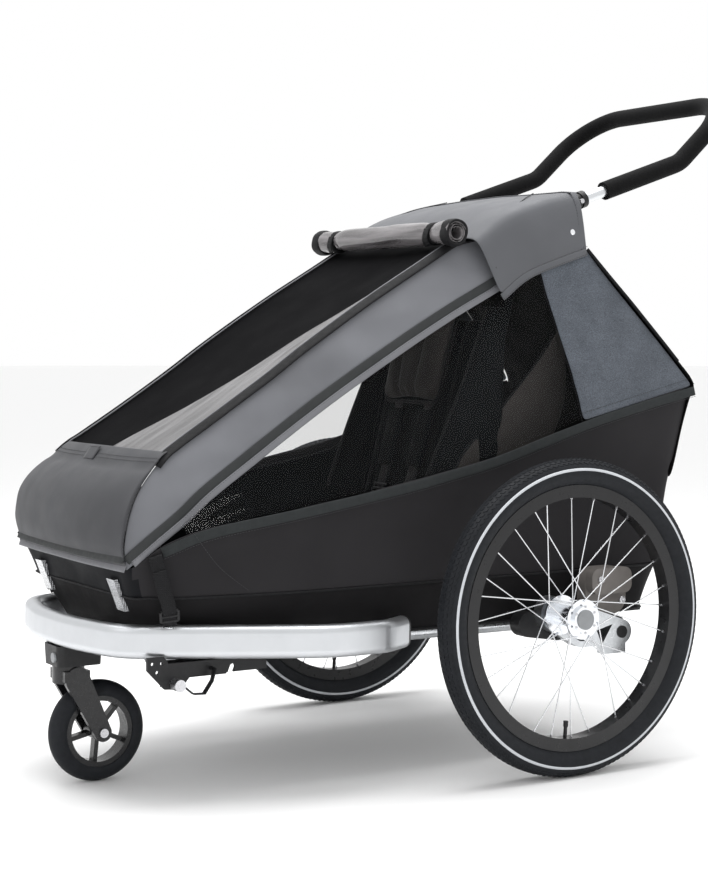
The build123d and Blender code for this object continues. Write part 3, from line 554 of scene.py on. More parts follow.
upper = net("tub_upper", tub_rows(0, 1, 15, sag), "tub", "chassis", thick=1.6, closed=True,
            skip=rear_opening)
face_out(upper, INSIDE)
ripple(upper, 1.6, (9, 9, 14))
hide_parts("tub_sides", "tub_front", "tub_rear")
# the forward-facing faces at the front end take the darker cloth, as painted shade
painted_shade_faces = [p for p in upper.data.polygons if p.center.x > P(662, 0, 0).x and abs(p.normal.x) > 0.55]
upper.data.materials.append(M["front"])
for polygon in painted_shade_faces:
    polygon.material_index = 1
lower = net("tub_lower", tub_rows(1.02, 2, 8, lambda u, v: -2.5 * math.sin(math.pi * v)), "tub_low",
            "chassis",
            thick=1.6, closed=True)
face_out(lower, INSIDE)
seam_ring = [p + (p - Vector((INSIDE.x, 0, p.z))).normalized() * 0.0008 for p in tub_ring(1.01)]
tube("tub_seam_piping", seam_ring, 1.9, "binding", "chassis", closed=True)
hem_ring = tub_ring(1.97)
tube("tub_hem_binding", hem_ring, 2.2, "binding", "chassis", closed=True)


def side_normals(points, tilt=0.06):
    return [Vector((0, 1 if p.y > 0 else -1, tilt)) for p in points]


for side, sign in SIDES:
    belt_line = smooth_line([P(x, y * sign, z) for x, y, z in BELT[:9]], 60)
    band(f"belt_tape_{side}", belt_line, side_normals(belt_line), 15, 1.2, "belt", "chassis",
         lift=0.5, shift=8.5 if sign > 0 else -8.5)
    stitches(f"belt_stitch_{side}", belt_line, side_normals(belt_line), "chassis",
             lift=1.0, shift=18 if sign > 0 else -18)
    # curved seam of the front gusset
    gusset = smooth_line([P(*[c if k != 1 else c * sign for k, c in enumerate(p)]) for p in
                          ((606, 237, 403), (590, 240, 380), (566, 239, 352), (535, 236, 328),
                           (508, 235, 309))], 24)
    stitches(f"gusset_stitch_{side}", gusset, side_normals(gusset), "chassis", lift=0.4)


# ---------------------------------------------------------------- nose, rail covers and front window
def nose_point(u, t):
    """Point of the nose cover, u from the right edge (-1) to the left edge (1), t up the cover."""
    k = min(int(t * (len(NOSE) - 1)), len(NOSE) - 2)
    f = t * (len(NOSE) - 1) - k
    edge, middle, half, z = [a + (b - a) * f for a, b in zip(NOSE[k], NOSE[k + 1])]
    swell = (1 - abs(u) ** 3.2)
    return (edge + (middle - edge) * swell, half * u, z)


def nose_rows(nu, nt):
    columns = []
    for j in range(nu):
        u = math.sin((2 * j / (nu - 1) - 1) * math.pi / 2)
        control = [P(*nose_point(u, k / 4)) for k in range(5)]
        columns.append(smooth_line(control, nt))
    return [[columns[j][k] for j in range(nu)] for k in range(nt)]


def nose_slack(p, u, t):
    """Soft folds of the nose cover, in millimetres outwards."""
    x = 1 - abs(u)
    belly = 14.0 * max(0.0, math.sin(math.pi * min(1, t * 1.02))) ** 1.2 * min(1, x / 0.12)
    gather = 2.6 * hill(x, 0, 0.13) * math.sin(t * 30 + 0.6) * hill(t, 0.2, 0.25)
    under_hem = -3.5 * hill(t, 0.80, 0.035) * (0.6 + 0.4 * math.sin(u * 11))
    roll = 3.2 * hill(t, 0.93, 0.08)
    wide = 2.4 * math.sin(t * 7 + u * 1.4) + 1.6 * noise.noise(Vector((u * 2.2, t * 4.0, 3.1)))
    return belly + gather + under_hem + roll + wide


nose_grid = nose_rows(47, 29)
for k, row in enumerate(nose_grid):
    for j in range(len(row)):
        u, t = 2 * j / (len(row) - 1) - 1, k / (len(nose_grid) - 1)
        out = (row[j] - NOSE_INSIDE).normalized()
        row[j] = row[j] + out * (nose_slack(row[j], u, t) + 1.2) / 1000
nose = net("nose_flap", nose_grid, "nose", "roof", thick=1.8)
face_out(nose, NOSE_INSIDE)
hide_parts("nose_cover")


def nose_line(t, lift=0.0, count=60, reach=1.0):
    """Line across the nose cover at height t, and the normals there."""
    k = t * (len(nose_grid) - 1)
    row, other = nose_grid[int(k)], nose_grid[min(int(k) + 1, len(nose_grid) - 1)]
    line = [a.lerp(b, k - int(k)) for a, b in zip(row, other)]
    skip = int((1 - reach) * len(line) / 2)
    line = even(line[skip:len(line) - skip], count)
    normals = []
    for i, p in enumerate(line):
        along = (line[min(i + 1, count - 1)] - line[max(i - 1, 0)]).normalized()
        up = Vector((-0.35 - 0.4 * t, 0, 1))
        normal = along.cross(up)
        if normal.dot(p - NOSE_INSIDE) < 0:
            normal.negate()
        normals.append(normal.normalized())
    return [p + n * lift / 1000 for p, n in zip(line, normals)], normals


# rail covers
COVER_BULGE = 5.0


def cover_grid(sign, nu=64, nv=13):
    low = smooth_line([P(x, y * sign, z) for x, y, z in [(700, 205.5, 352)] + COVER_LOW[1:]], nu)
    high = smooth_line([P(x, y * sign, z) for x, y, z in [(700, 205.5, 352)] + COVER_HIGH], nu)
    rows = []
    for k in range(nv):
        v = k / (nv - 1)
        row = []
        for i in range(nu):
            u = i / (nu - 1)
            p = low[i].lerp(high[i], v)
            swell = COVER_BULGE * math.sin(math.pi * v) * min(1, u * 9)
            fold = 1.9 * math.sin(u * 41 + v * 5.0) * math.sin(math.pi * v) * min(1, u * 6)
            uneven = 0.4 + 0.6 * noise.noise(Vector((u * 6, v * 2, 1.7))) + 0.3
            row.append(p + Vector((0.25, 0.86 * sign, 0.45)) * (swell + fold * uneven) / 1000)
        rows.append(row)
    return rows


def row_normals(rows, k, sign):
    normals = []
    row = rows[k]
    other = rows[k + 1] if k + 1 < len(rows) else rows[k - 1]
    for i, p in enumerate(row):
        along = row[min(i + 1, len(row) - 1)] - row[max(i - 1, 0)]
        across = (other[i] - p) if k + 1 < len(rows) else (p - other[i])
        if across.length < 1e-6:
            across = Vector((0, 0, 1))
        n = along.cross(across).normalized()
        if n.y * sign < 0:
            n.negate()
        normals.append(n)
    return normals


covers = {}
for side, sign in SIDES:
    rows = cover_grid(sign)
    covers[side] = rows
    piece = net(f"rail_cover_{side}", rows, "cover", "roof", thick=1.6)
    face_out(piece, INSIDE)
    if sign > 0:
        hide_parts("rail_covers")
    low_line, low_normal = rows[0][1:], row_normals(rows, 0, sign)[1:]
    band(f"cover_edge_{side}", low_line, low_normal, 11, 1.2, "edge", "roof", lift=0.8,
         shift=1.5 * sign)
    tape_line, tape_normal = [], []
    for i in range(1, len(rows[0])):
        a, b = rows[0][i], rows[-1][i]
        span = (b - a).length
        share = min(0.9, 0.0135 / max(span, 0.0136))
        k = share * (len(rows) - 1)
        p = rows[int(k)][i].lerp(rows[min(int(k) + 1, len(rows) - 1)][i], k - int(k))
        tape_line.append(p)
        tape_normal.append(row_normals(rows, int(k), sign)[i])
    band(f"cover_tape_{side}", tape_line, tape_normal, 13.5, 1.0, "tape", "roof", lift=1.0)
    # zip band along the top edge
    start = 12
    zip_line, zip_normal = rows[-1][start:], row_normals(rows, len(rows) - 1, sign)[start:]
    flat = [(n + Vector((0.25, 0, 0.75))).normalized() for n in zip_normal]
    band(f"zip_cover_{side}", zip_line, flat, 15, 2.0, "binding", "roof", lift=1.2,
         shift=-2.0 * sign)
    piping = [p + Vector((0, -0.0105 * sign, 0.0042)) for p in zip_line]
    tube(f"zip_piping_{side}", piping, 1.3, "edge", "roof")
    stitches(f"cover_stitch_{side}", low_line, low_normal, "roof", lift=2.0,
             shift=5.0 * sign,
             radius=0.3)

# tape and edge along the bottom of the nose, wrapping the corners
for name, t, width, look, lift in (("nose_edge", 0.008, 11, "edge", 1.2),
                                   ("nose_tape", 0.082, 13, "tape", 1.0)):
    line, normals = nose_line(t)
    band(name, line, normals, width, 1.2, look, "roof", lift=lift)
hem_line, hem_normals = nose_line(0.90, reach=0.94)
stitches("nose_hem_stitch", hem_line, hem_normals, "roof", lift=1.0)
hem_line, hem_normals = nose_line(0.865, reach=0.94)
stitches("nose_hem_stitch_low", hem_line, hem_normals, "roof", lift=1.0)
patch_line, patch_normals = nose_line(0.90, count=61)
patch_line, patch_normals = patch_line[24:31], patch_normals[24:31]
band("nose_patch", patch_line, patch_normals, 24, 1.2, "nose", "roof", lift=1.4)
stitches("nose_patch_stitch", [p - Vector((0.001, 0, 0.0005)) for p in patch_line], patch_normals, "roof",
         lift=2.9, shift=-10)
stitches("nose_patch_stitch_low", patch_line, patch_normals, "roof", lift=2.9, shift=10)
for side, sign in SIDES:
    gather = [row[-2 if sign > 0 else 1] for row in nose_grid[3:-1]]
    outward = [(p - NOSE_INSIDE).normalized() for p in gather]
    stitches(f"nose_seam_stitch_{side}", gather, outward, "roof", lift=1.2, pitch=5.5)

# front window: insect mesh between the zips, with a folded net along the left zip
WINDOW_INSIDE = P(300, 0, 400)
WINDOW_OUT = Vector((0.45, 0, 0.89))
window_low = smooth_line([P(*p) for p in COVER_HIGH[2:]], 46)


def window_point(i, w):
    """Point of the front window at station i, w from the left zip (0) to the right zip (1)."""
    left = window_low[i]
    y = left.y * (1 - 2 * w)
    along = min(1, max(0, i / (len(window_low) - 1)))
    dip = -9.0 * math.sin(math.pi * w) ** 0.8 * math.sin(math.pi * along) ** 0.5
    waves = 1.5 * noise.noise(Vector((i * 0.16, w * 3.0, 0.4)))
    return Vector((left.x, y, left.z)) + WINDOW_OUT * (dip + waves - 0.5) / 1000


window_rows = [[window_point(i, w / 20) for w in range(21)] for i in range(len(window_low))]
window = net("window_mesh", window_rows, "mesh", "roof", thick=0.8)
face_out(window, WINDOW_INSIDE)
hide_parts("mesh_window")


def net_width(i):
    t = i / (len(window_low) - 1)
    return max(0.0, 0.55 - 0.74 * t)


voile_rows = []
for i in range(34):
    row = []
    for k in range(13):
        w = 0.012 + net_width(i) * k / 12
        crease = 1.5 * math.sin(k * 2.1 + i * 0.35)
        row.append(window_point(i, w) + WINDOW_OUT * (2.2 + crease) / 1000)
    voile_rows.append(row)
voile = net("window_folded_net", voile_rows, "voile", "roof", thick=0.6)
face_out(voile, WINDOW_INSIDE)

# ---------------------------------------------------------------- hood
def hood_section(i, rows=17):
    x_low, x_high, z_low, z_high, z_crown = HOOD_FINE[i]
    lean = (x_high - x_low) / (z_high - z_low)

    def corner(y, z):
        return P(x_low + lean * (z - z_low), y, z)

    side = [corner(225, z_low), corner(223.5, z_low + (z_high - z_low) * 0.5), corner(219, z_high - 9),
            corner(209, z_high + 0.5), corner(160, z_high + (z_crown - z_high) * 0.45),
            corner(80, z_crown - 1),
            corner(0, z_crown)]
    half = smooth_line(side, rows)
    return half + flipped(half[:-1][::-1])


def rounded(table, count):
    """Hood sections smoothed along its length."""
    shoulder = smooth_line([Vector((row[1], row[3], row[4])) for row in table], count)
    low = smooth_line([Vector((row[0], row[2], 0)) for row in table], count)
    return [(low[i].x, shoulder[i].x, low[i].y, shoulder[i].y, shoulder[i].z) for i in range(count)]


HOOD_FINE = rounded(HOOD, 19)
hood_rows = [hood_section(i) for i in range(len(HOOD_FINE))]
for i, row in enumerate(hood_rows):
    for j, p in enumerate(row):
        out = Vector((0, p.y * 2.0, p.z - 0.80)).normalized()
        t = i / (len(hood_rows) - 1)
        slack = 2.2 * math.sin(math.pi * t) * (abs(p.y) < 0.19)
        swell = 1.2 + 1.6 * noise.noise(Vector((t * 3.2, j * 0.22, 6.0))) - slack
        row[j] = p + out * swell / 1000
hood = net("hood_cloth", hood_rows, "nylon", "roof", thick=1.8)
face_out(hood, P(0, 0, 780))
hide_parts("hood")
rear_edge = hood_rows[-1]
rear_out = [Vector((0, p.y * 2.2, p.z - 0.80)).normalized() for p in rear_edge]
band("hood_rear_hem", rear_edge, rear_out, 12, 1.0, "nylon", "roof", lift=0.6, shift=5)
stitches("hood_rear_stitch", rear_edge, rear_out, "roof", lift=1.6, shift=10)
for side, sign in SIDES:
    edge = [row[0 if sign > 0 else -1] for row in hood_rows]
    out = [Vector((0, sign, 0.1))] * len(edge)
    band(f"hood_hem_{side}", edge, out, 12, 1.0, "nylon", "roof", lift=0.6, shift=-5 * sign)
    stitches(f"hood_hem_stitch_{side}", edge, out, "roof", lift=1.7, shift=-9 * sign)
    seam = smooth_line([P(56, 224.5 * sign, 800), P(62, 217 * sign, 836), P(44, 209 * sign, 866),
                        P(8, 196 * sign, 893), P(-40, 170 * sign, 917), P(-92, 128 * sign, 932)], 40)
    seam_out = [Vector((0, 1.0 * sign * max(0, 1 - i / 14), 0.7)).normalized() for i in range(40)]
    lifted = [p + n * 0.0012 for p, n in zip(seam, seam_out)]
    tube(f"hood_seam_{side}", lifted, 0.9, "thread", "roof")
    bm = bmesh.new()
    bmesh.ops.create_uvsphere(bm, u_segments=24, v_segments=12, radius=0.0062)
    for v in bm.verts:
        v.co.y *= 0.42
        r = math.hypot(v.co.x, v.co.z)
        v.co.y += 0.0006 * math.cos(r * 900) * (1 if v.co.y > 0 else 0)
        v.co += P(-97, 226.5 * sign, 862)
    mesh = mesh_of(f"hood_stud_{side}", bm)
    smooth_faces(mesh)
    stud = placed(f"hood_stud_{side}", mesh)
    mesh.materials.append(M["snap"])
    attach(stud, "roof")


# ---------------------------------------------------------------- rolled rain cover
roll_low, roll_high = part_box("rain_cover_roll")
roll_x, roll_z = (roll_low.x + roll_high.x) / 2, (roll_low.z + roll_high.z) / 2
roll_r, roll_half = (roll_high.z - roll_low.z) / 2, roll_high.y


def roll_ring(y, radius, squeeze):
    """Slightly uneven ring of a strap round the roll."""
    ring = []
    for k in range(40):
        a = 2 * math.pi * k / 40
        r = radius * (1 - squeeze * max(0, math.cos(a * 2 - 0.6)) ** 2)
        r *= 1 + 0.05 * noise.noise(Vector((math.cos(a) * 1.6, y * 9, math.sin(a) * 1.6)))
        ring.append(Vector((roll_x + r * math.cos(a), y, roll_z + r * math.sin(a))))
    return ring


def roll_point(y, share):
    """Point of the film wound into a roll, share from the core (0) to the free edge (1)."""
    a = 2 * math.pi * ROLL_TURNS * share + 0.9
    r = (9.0 + (roll_r * 1000 * 0.93 - 9.0) * share) / 1000
    pinch = sum(hill(abs(y), place, 0.022) * depth for place, depth in ((0.150, 0.20), (0.0, 0.05)))
    uneven = 1 + 0.07 * noise.noise(Vector((math.cos(a) * 1.3, y * 11, math.sin(a) * 1.3 + share * 2)))
    r *= (1 - pinch) * uneven
    return Vector((roll_x + r * math.cos(a), y, roll_z + r * math.sin(a)))


ROLL_TURNS = 3.2
ROLL_ACROSS, ROLL_ALONG = 54, 110
roll_rows = [[roll_point(-roll_half * 0.99 + 1.98 * roll_half * k / ROLL_ACROSS, j / ROLL_ALONG)
              for j in range(ROLL_ALONG + 1)] for k in range(ROLL_ACROSS + 1)]
roll = net("rain_roll", roll_rows, "roll", "roof", thick=0.7, levels=0)
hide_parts("rain_cover_roll")
for side, sign in SIDES:
    for name, y0, width, size in (("end", roll_half - 0.012, 0.024, 1.0), ("strap", 0.150, 0.017, 0.86)):
        ring_rows = []
        for f, r in ((-0.5, 0.93), (-0.42, 1.03), (0.42, 1.03), (0.5, 0.93), (0.46, 0.72), (-0.46, 0.72)):
            ring_rows.append(roll_ring(sign * (y0 + f * width), roll_r * size * r, 0.08
                                       if name == "end" else 0.1))
        ring_rows.append(ring_rows[0])
        net(f"roll_{name}_{side}", ring_rows, "binding", "roof", thick=0, closed=True)
    hang = [Vector((roll_x + roll_r * 0.75, sign * 0.150, roll_z + roll_r * 0.4)),
            Vector((roll_x + roll_r * 0.95, sign * 0.150, roll_z - roll_r * 0.35)),
            Vector((roll_x + roll_r * 0.7, sign * 0.151, roll_z - roll_r * 0.9))]
    band(f"roll_tail_{side}", smooth_line(hang, 10), Vector((1, 0, 0.2)), 15, 1.2, "webbing", "roof")


# ---------------------------------------------------------------- side windows and rear cloth
def blended(obj, low, high):
    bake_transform(obj)


belt_fine = {sign: smooth_line([P(x, y * sign, z) for x, y, z in BELT], 200) for sign in (1, -1)}


def belt_point(x, sign):
    return min(belt_fine[sign], key=lambda p: abs(p.x - P(x, 0, 0).x))


for side, sign in SIDES:
    rows = covers[side]
    tops = [rows[0][i] + Vector((0, -0.004 * sign, 0.004)) for i in range(8, len(rows[0]))]
    tops += [P(x, 219.5 * sign, z) for x, z in ((25, 782), (0, 794), (-30, 806))]
    tops = even(tops, 40)
    grid = []
    xs = [614 + (-92 - 614) * i / 39 for i in range(40)]
    lows = [belt_point(x, sign) + Vector((0, -0.0035 * sign, 0)) for x in xs]
    for k in range(15):
        v = k / 14
        row = []
        for i in range(40):
            p = lows[i].lerp(tops[i], v)
            wave = math.sin(math.pi * v) * (3.0 * noise.noise(Vector((i * 0.22, v * 5.0, 2.0)))
                                            + 2.0 * math.exp(-v * 4) * math.sin(i * 1.3 + v * 6))
            row.append(p + Vector((0, sign * wave / 1000, 0)))
        grid.append(row)
    film = net(f"side_film_{side}", grid, "film", None, thick=0.5)
    face_out(film, INSIDE)
    if sign > 0:
        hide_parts("side_windows")
    blended(film, *FILM_FOLD)
    # woven panel
    front = smooth_line([P(-92, 265 * sign, 553), P(-78, 256 * sign, 620), P(-60, 243 * sign, 690),
                         P(-42, 230 * sign, 760), P(-31, 224.5 * sign, 807)], 22)
    back = smooth_line([P(-329, 262 * sign, 607), P(-285, 250 * sign, 662), P(-230, 241 * sign, 722),
                        P(-172, 231 * sign, 785), P(-126, 224.5 * sign, 838)], 22)
    grid = []
    for k in range(22):
        row = []
        for i in range(17):
            u, v = i / 16, k / 21
            p = front[k].lerp(back[k], u)
            fray = 1.6 * noise.noise(Vector((k * 0.9, 5.0, 0))) * (1 - u) ** 6
            bulge = 4.0 * math.sin(math.pi * v) * math.sin(math.pi * u) ** 0.7
            row.append(p + Vector((fray, sign * bulge, 0)) / 1000)
        grid.append(row)
    panel = net(f"rear_side_cloth_{side}", grid, "melange", None, thick=1.6)
    face_out(panel, INSIDE)
    if sign > 0:
        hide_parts("rear_side_panels")
    blended(panel, *PANEL_FOLD)
    out = Vector((0, sign, 0.15))
    for label, line, shift in (("back", [row[-1] for row in grid], 4),
                               ("front", [row[0] for row in grid], -4)):
        seam = stitches(f"rear_side_{label}_stitch_{side}", line, out, None, lift=0.9,
                        shift=-shift * sign)
        blended(seam, *PANEL_FOLD)
    stitches(f"rear_side_hem_stitch_{side}", grid[1], out, "chassis", lift=0.9)

# rear cloth, wider than the woven panels by a soft fold
rear_rows = []
REAR = [(-293, 247, 452), (-300, 250, 480), (-313, 254, 540), (-325, 261, 592), (-329, 265, 610),
        (-291, 254, 662),
        (-237, 245, 722), (-179, 235, 785), (-130, 227, 836)]
rear_edge_line = smooth_line([P(*p) for p in REAR], 36)
for k, p in enumerate(rear_edge_line):
    v = k / 35
    row = []
    for i in range(31):
        u = 2 * i / 30 - 1
        lip = 9.0 * hill(0.93, abs(u), 0.05) * math.sin(math.pi * v) * (0.8 + 0.4 * math.sin(k * 1.1))
        lip *= min(1, (1 - abs(u)) / 0.03)
        swell = 13.0 * (1 - u ** 4) * math.sin(math.pi * v) + lip
        fold = 2.0 * noise.noise(Vector((u * 3, v * 4, 7.7)))
        row.append(Vector((p.x, p.y * u, p.z)) + Vector((-0.8, 0, 0.45)) * (swell + fold - 1.0) / 1000)
    rear_rows.append(row)
rear = net("rear_cloth", rear_rows, "tub_low", None, thick=1.6)
face_out(rear, INSIDE)
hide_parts("rear_panel")
blended(rear, *REAR_FOLD)
for side, sign in SIDES:
    line = [row[-1 if sign > 0 else 0] for row in rear_rows[16:]]
    binding = tube(f"rear_binding_{side}", line, 2.6, "binding", "roof")
    bpy.context.view_layer.update()
    graph = bpy.context.evaluated_depsgraph_get()
    mesh = bpy.data.meshes.new_from_object(binding.evaluated_get(graph))
    bpy.data.objects.remove(binding)
    binding = placed(f"rear_binding_{side}", mesh)
    blended(binding, *REAR_FOLD)


# dark flap closing the hood at the back, between the handle sleeves
flap_top = [p for p in hood_rows[-1] if abs(p.y) < 0.182]
flap_low = [Vector((rear_rows[-1][0].x + 0.004, p.y, rear_rows[-1][0].z - 0.006)) for p in flap_top]
flap_rows = []
for k in range(9):
    v = k / 8
    row = []
    for j, (low, top) in enumerate(zip(flap_low, flap_top)):
        swell = 6 * math.sin(math.pi * v) + 1.5 * noise.noise(Vector((j * 0.35, v * 3, 4.4)))
        row.append(low.lerp(top, v) + Vector((-0.001, 0, -0.003)) * v + Vector((-1, 0, 0.1)) * swell / 1000)
    flap_rows.append(row)
hood_flap = net("hood_back_flap", flap_rows, "tub_low", "roof", thick=1.4)
face_out(hood_flap, P(0, 0, 800))


# ---------------------------------------------------------------- padded pieces and harness
def on_back(s, n, y):
    """Point on the backrest: s down the frame from its hinge, n in front of it."""
    return P(-44 + 0.2433 * s + 0.9699 * n, y, 846 - 0.9699 * s + 0.2433 * n)


def on_seat(s, n, y):
    return P(s, y, 236.3 + n)


PAD_CUTS = 11
CLOTH_FRAMES = 20


def pad_shape(name, place, s0, s1, n0, n1, half, corner, look, taper=0.0, crown=0.0):
    """Closed pad with rounded edges between s0-s1, n0-n1 and +-half; taper narrows it towards s1."""
    bm = bmesh.new()
    bmesh.ops.create_cube(bm, size=2.0)
    bmesh.ops.subdivide_edges(bm, edges=bm.edges[:], cuts=PAD_CUTS, use_grid_fill=True)
    size = Vector(((s1 - s0) / 2, half, (n1 - n0) / 2))
    edge = min(corner, size.z)
    for v in bm.verts:
        p = Vector((v.co.x * size.x, v.co.y * size.y, v.co.z * size.z))
        core = Vector([max(-(limit - edge), min(limit - edge, c)) for c, limit in zip(p, size)])
        flat_core = Vector((max(-(size.x - corner), min(size.x - corner, p.x)),
                            max(-(size.y - corner), min(size.y - corner, p.y)), 0))
        away = Vector((p.x, p.y, 0)) - flat_core
        if away.length > corner:
            p.x, p.y = (flat_core + away.normalized() * corner)[:2]
        gap = p - core
        if gap.length > edge:
            p = core + gap.normalized() * edge
        share = p.x / size.x
        width = 1 - taper * (share + 1) / 2 - 0.05 * (1 - share ** 2)
        swell = crown * (1 - (p.x / size.x) ** 2) * (1 - (p.y / size.y) ** 2) * (1 if p.z > 0 else 0)
        v.co = place((s0 + s1) / 2 + p.x, (n0 + n1) / 2 + p.z + swell, p.y * width)
    mesh = mesh_of(name, bm)
    obj = placed(name, mesh)
    mesh.materials.append(M[look])
    bpy.context.view_layer.update()
    return obj


def puff(obj, cap, voxel=6.0, pressure=4.0):
    """Fill the pad: cloth with pressure, its movement capped in millimetres."""
    remesh = obj.modifiers.new("remesh", "REMESH")
    remesh.mode = "VOXEL"
    remesh.voxel_size = voxel / 1000
    bake(obj)
    start = [v.co.copy() for v in obj.data.vertices]
    cloth = obj.modifiers.new("cloth", "CLOTH")
    cloth.settings.use_pressure = True
    cloth.settings.uniform_pressure_force = pressure
    cloth.settings.effector_weights.gravity = 0
    for frame_number in range(1, CLOTH_FRAMES + 1):
        scene.frame_set(frame_number)
    bake(obj)
    scene.frame_set(1)
    for v, old in zip(obj.data.vertices, start):
        move = v.co - old
        if move.length > cap / 1000:
            v.co = old + move.normalized() * cap / 1000
    smooth_faces(obj.data)


def sew(obj, lines, width, depth):
    """Press sewn channels into a pad: each line is a row of points."""
    sewn = [p for line in lines for p in line]
    for v in obj.data.vertices:
        gap = min((v.co - p).length for p in sewn)
        if gap < 3 * width / 1000:
            v.co -= v.normal * (math.exp(-(gap * 1000 / width) ** 2) * depth / 1000)


def finish_pad(obj, body):
    """Smooth a pad and attach it to what it rides on."""
    mod = obj.modifiers.new("smooth", "SUBSURF")
    mod.levels = mod.render_levels = 1
    bake(obj)
    smooth_faces(obj.data)
    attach(obj, body)


def surface_line(obj, points, toward):
    """Drop a line of points on to the pad's surface, coming from one direction."""
    landed = []
    for p in points:
        hit, place, normal, index = obj.ray_cast(p - toward * 0.12, toward, distance=0.3)
        landed.append(place + normal * 0.0004 if hit else p)
    return landed


DOWN = Vector((0, 0, -1))
INTO_BACK = Vector((-0.9699, 0, -0.2433))
OUT_OF_BACK = Vector((0.9699, 0, 0.2433))

seat_cushion = pad_shape("seat_cushion", on_seat, 123, 427, 3, 54, 130, 20, "seat_low", crown=2)
puff(seat_cushion, 6)
seams = [surface_line(seat_cushion, [on_seat(130 + 290 * k / 40, 60, y) for k in range(41)], DOWN)
         for y in (-62, 62)]
seams.append(surface_line(seat_cushion, [on_seat(300, 60, -122 + 244 * k / 40) for k in range(41)], DOWN))
sew(seat_cushion, seams, 7, 5)
finish_pad(seat_cushion, "chassis")
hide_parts("seat_pad")
tube("seat_piping", [on_seat(s, n, y) for s, n, y in
                     [(426, 44, -120 + 240 * k / 20) for k in range(21)]], 2.0, "binding", "chassis")

back_cushion = pad_shape("backrest_cushion", on_back, 132, 498, 11.5, 30, 129, 12, "seat_low")
puff(back_cushion, 4)
seams = [surface_line(back_cushion, [on_back(140 + 350 * k / 50, 40, y) for k in range(51)], INTO_BACK)
         for y in (-88, 88)]
sew(back_cushion, seams, 6, 4)
finish_pad(back_cushion, "backrest")
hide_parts("backrest_pad")

head = pad_shape("headrest_cushion", on_back, 106, 284, 34, 62, 88, 18, "seat", taper=0.10, crown=3)
puff(head, 6, voxel=5.0)
channels = []
for y in (-30, 30):
    line = [on_back(110 + 168 * k / 40, 75, y * (1.12 - 0.35 * k / 40)) for k in range(41)]
    channels.append(surface_line(head, line, INTO_BACK))
sew(head, channels, 6, 7)
finish_pad(head, "backrest")
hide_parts("headrest")
for index, line in enumerate(channels):
    tube(f"headrest_seam_{index}", [p - OUT_OF_BACK * 0.0062 for p in line[2:-2]], 0.9, "binding",
         "backrest")


def rim_line(place, s0, s1, n, half, corner, taper, count=96):
    """Rounded outline of a pad at one depth."""
    a, b = (s1 - s0) / 2, half
    points = []
    for cx, cy, start in ((a - corner, b - corner, 0), (-(a - corner), b - corner, 90),
                          (-(a - corner), -(b - corner), 180), (a - corner, -(b - corner), 270)):
        for k in range(9):
            angle = math.radians(start + 90 * k / 8)
            points.append((cx + corner * math.cos(angle), cy + corner * math.sin(angle)))
    points.append(points[0])
    line = []
    for x, y in points:
        share = x / a
        width = 1 - taper * (share + 1) / 2 - 0.05 * (1 - share ** 2)
        line.append(place((s0 + s1) / 2 + x, n, y * width))
    return even(line, count)[:-1]


tube("headrest_piping", rim_line(on_back, 103, 287, 48, 91.5, 20, 0.10), 3.0, "binding", "backrest",
     closed=True)

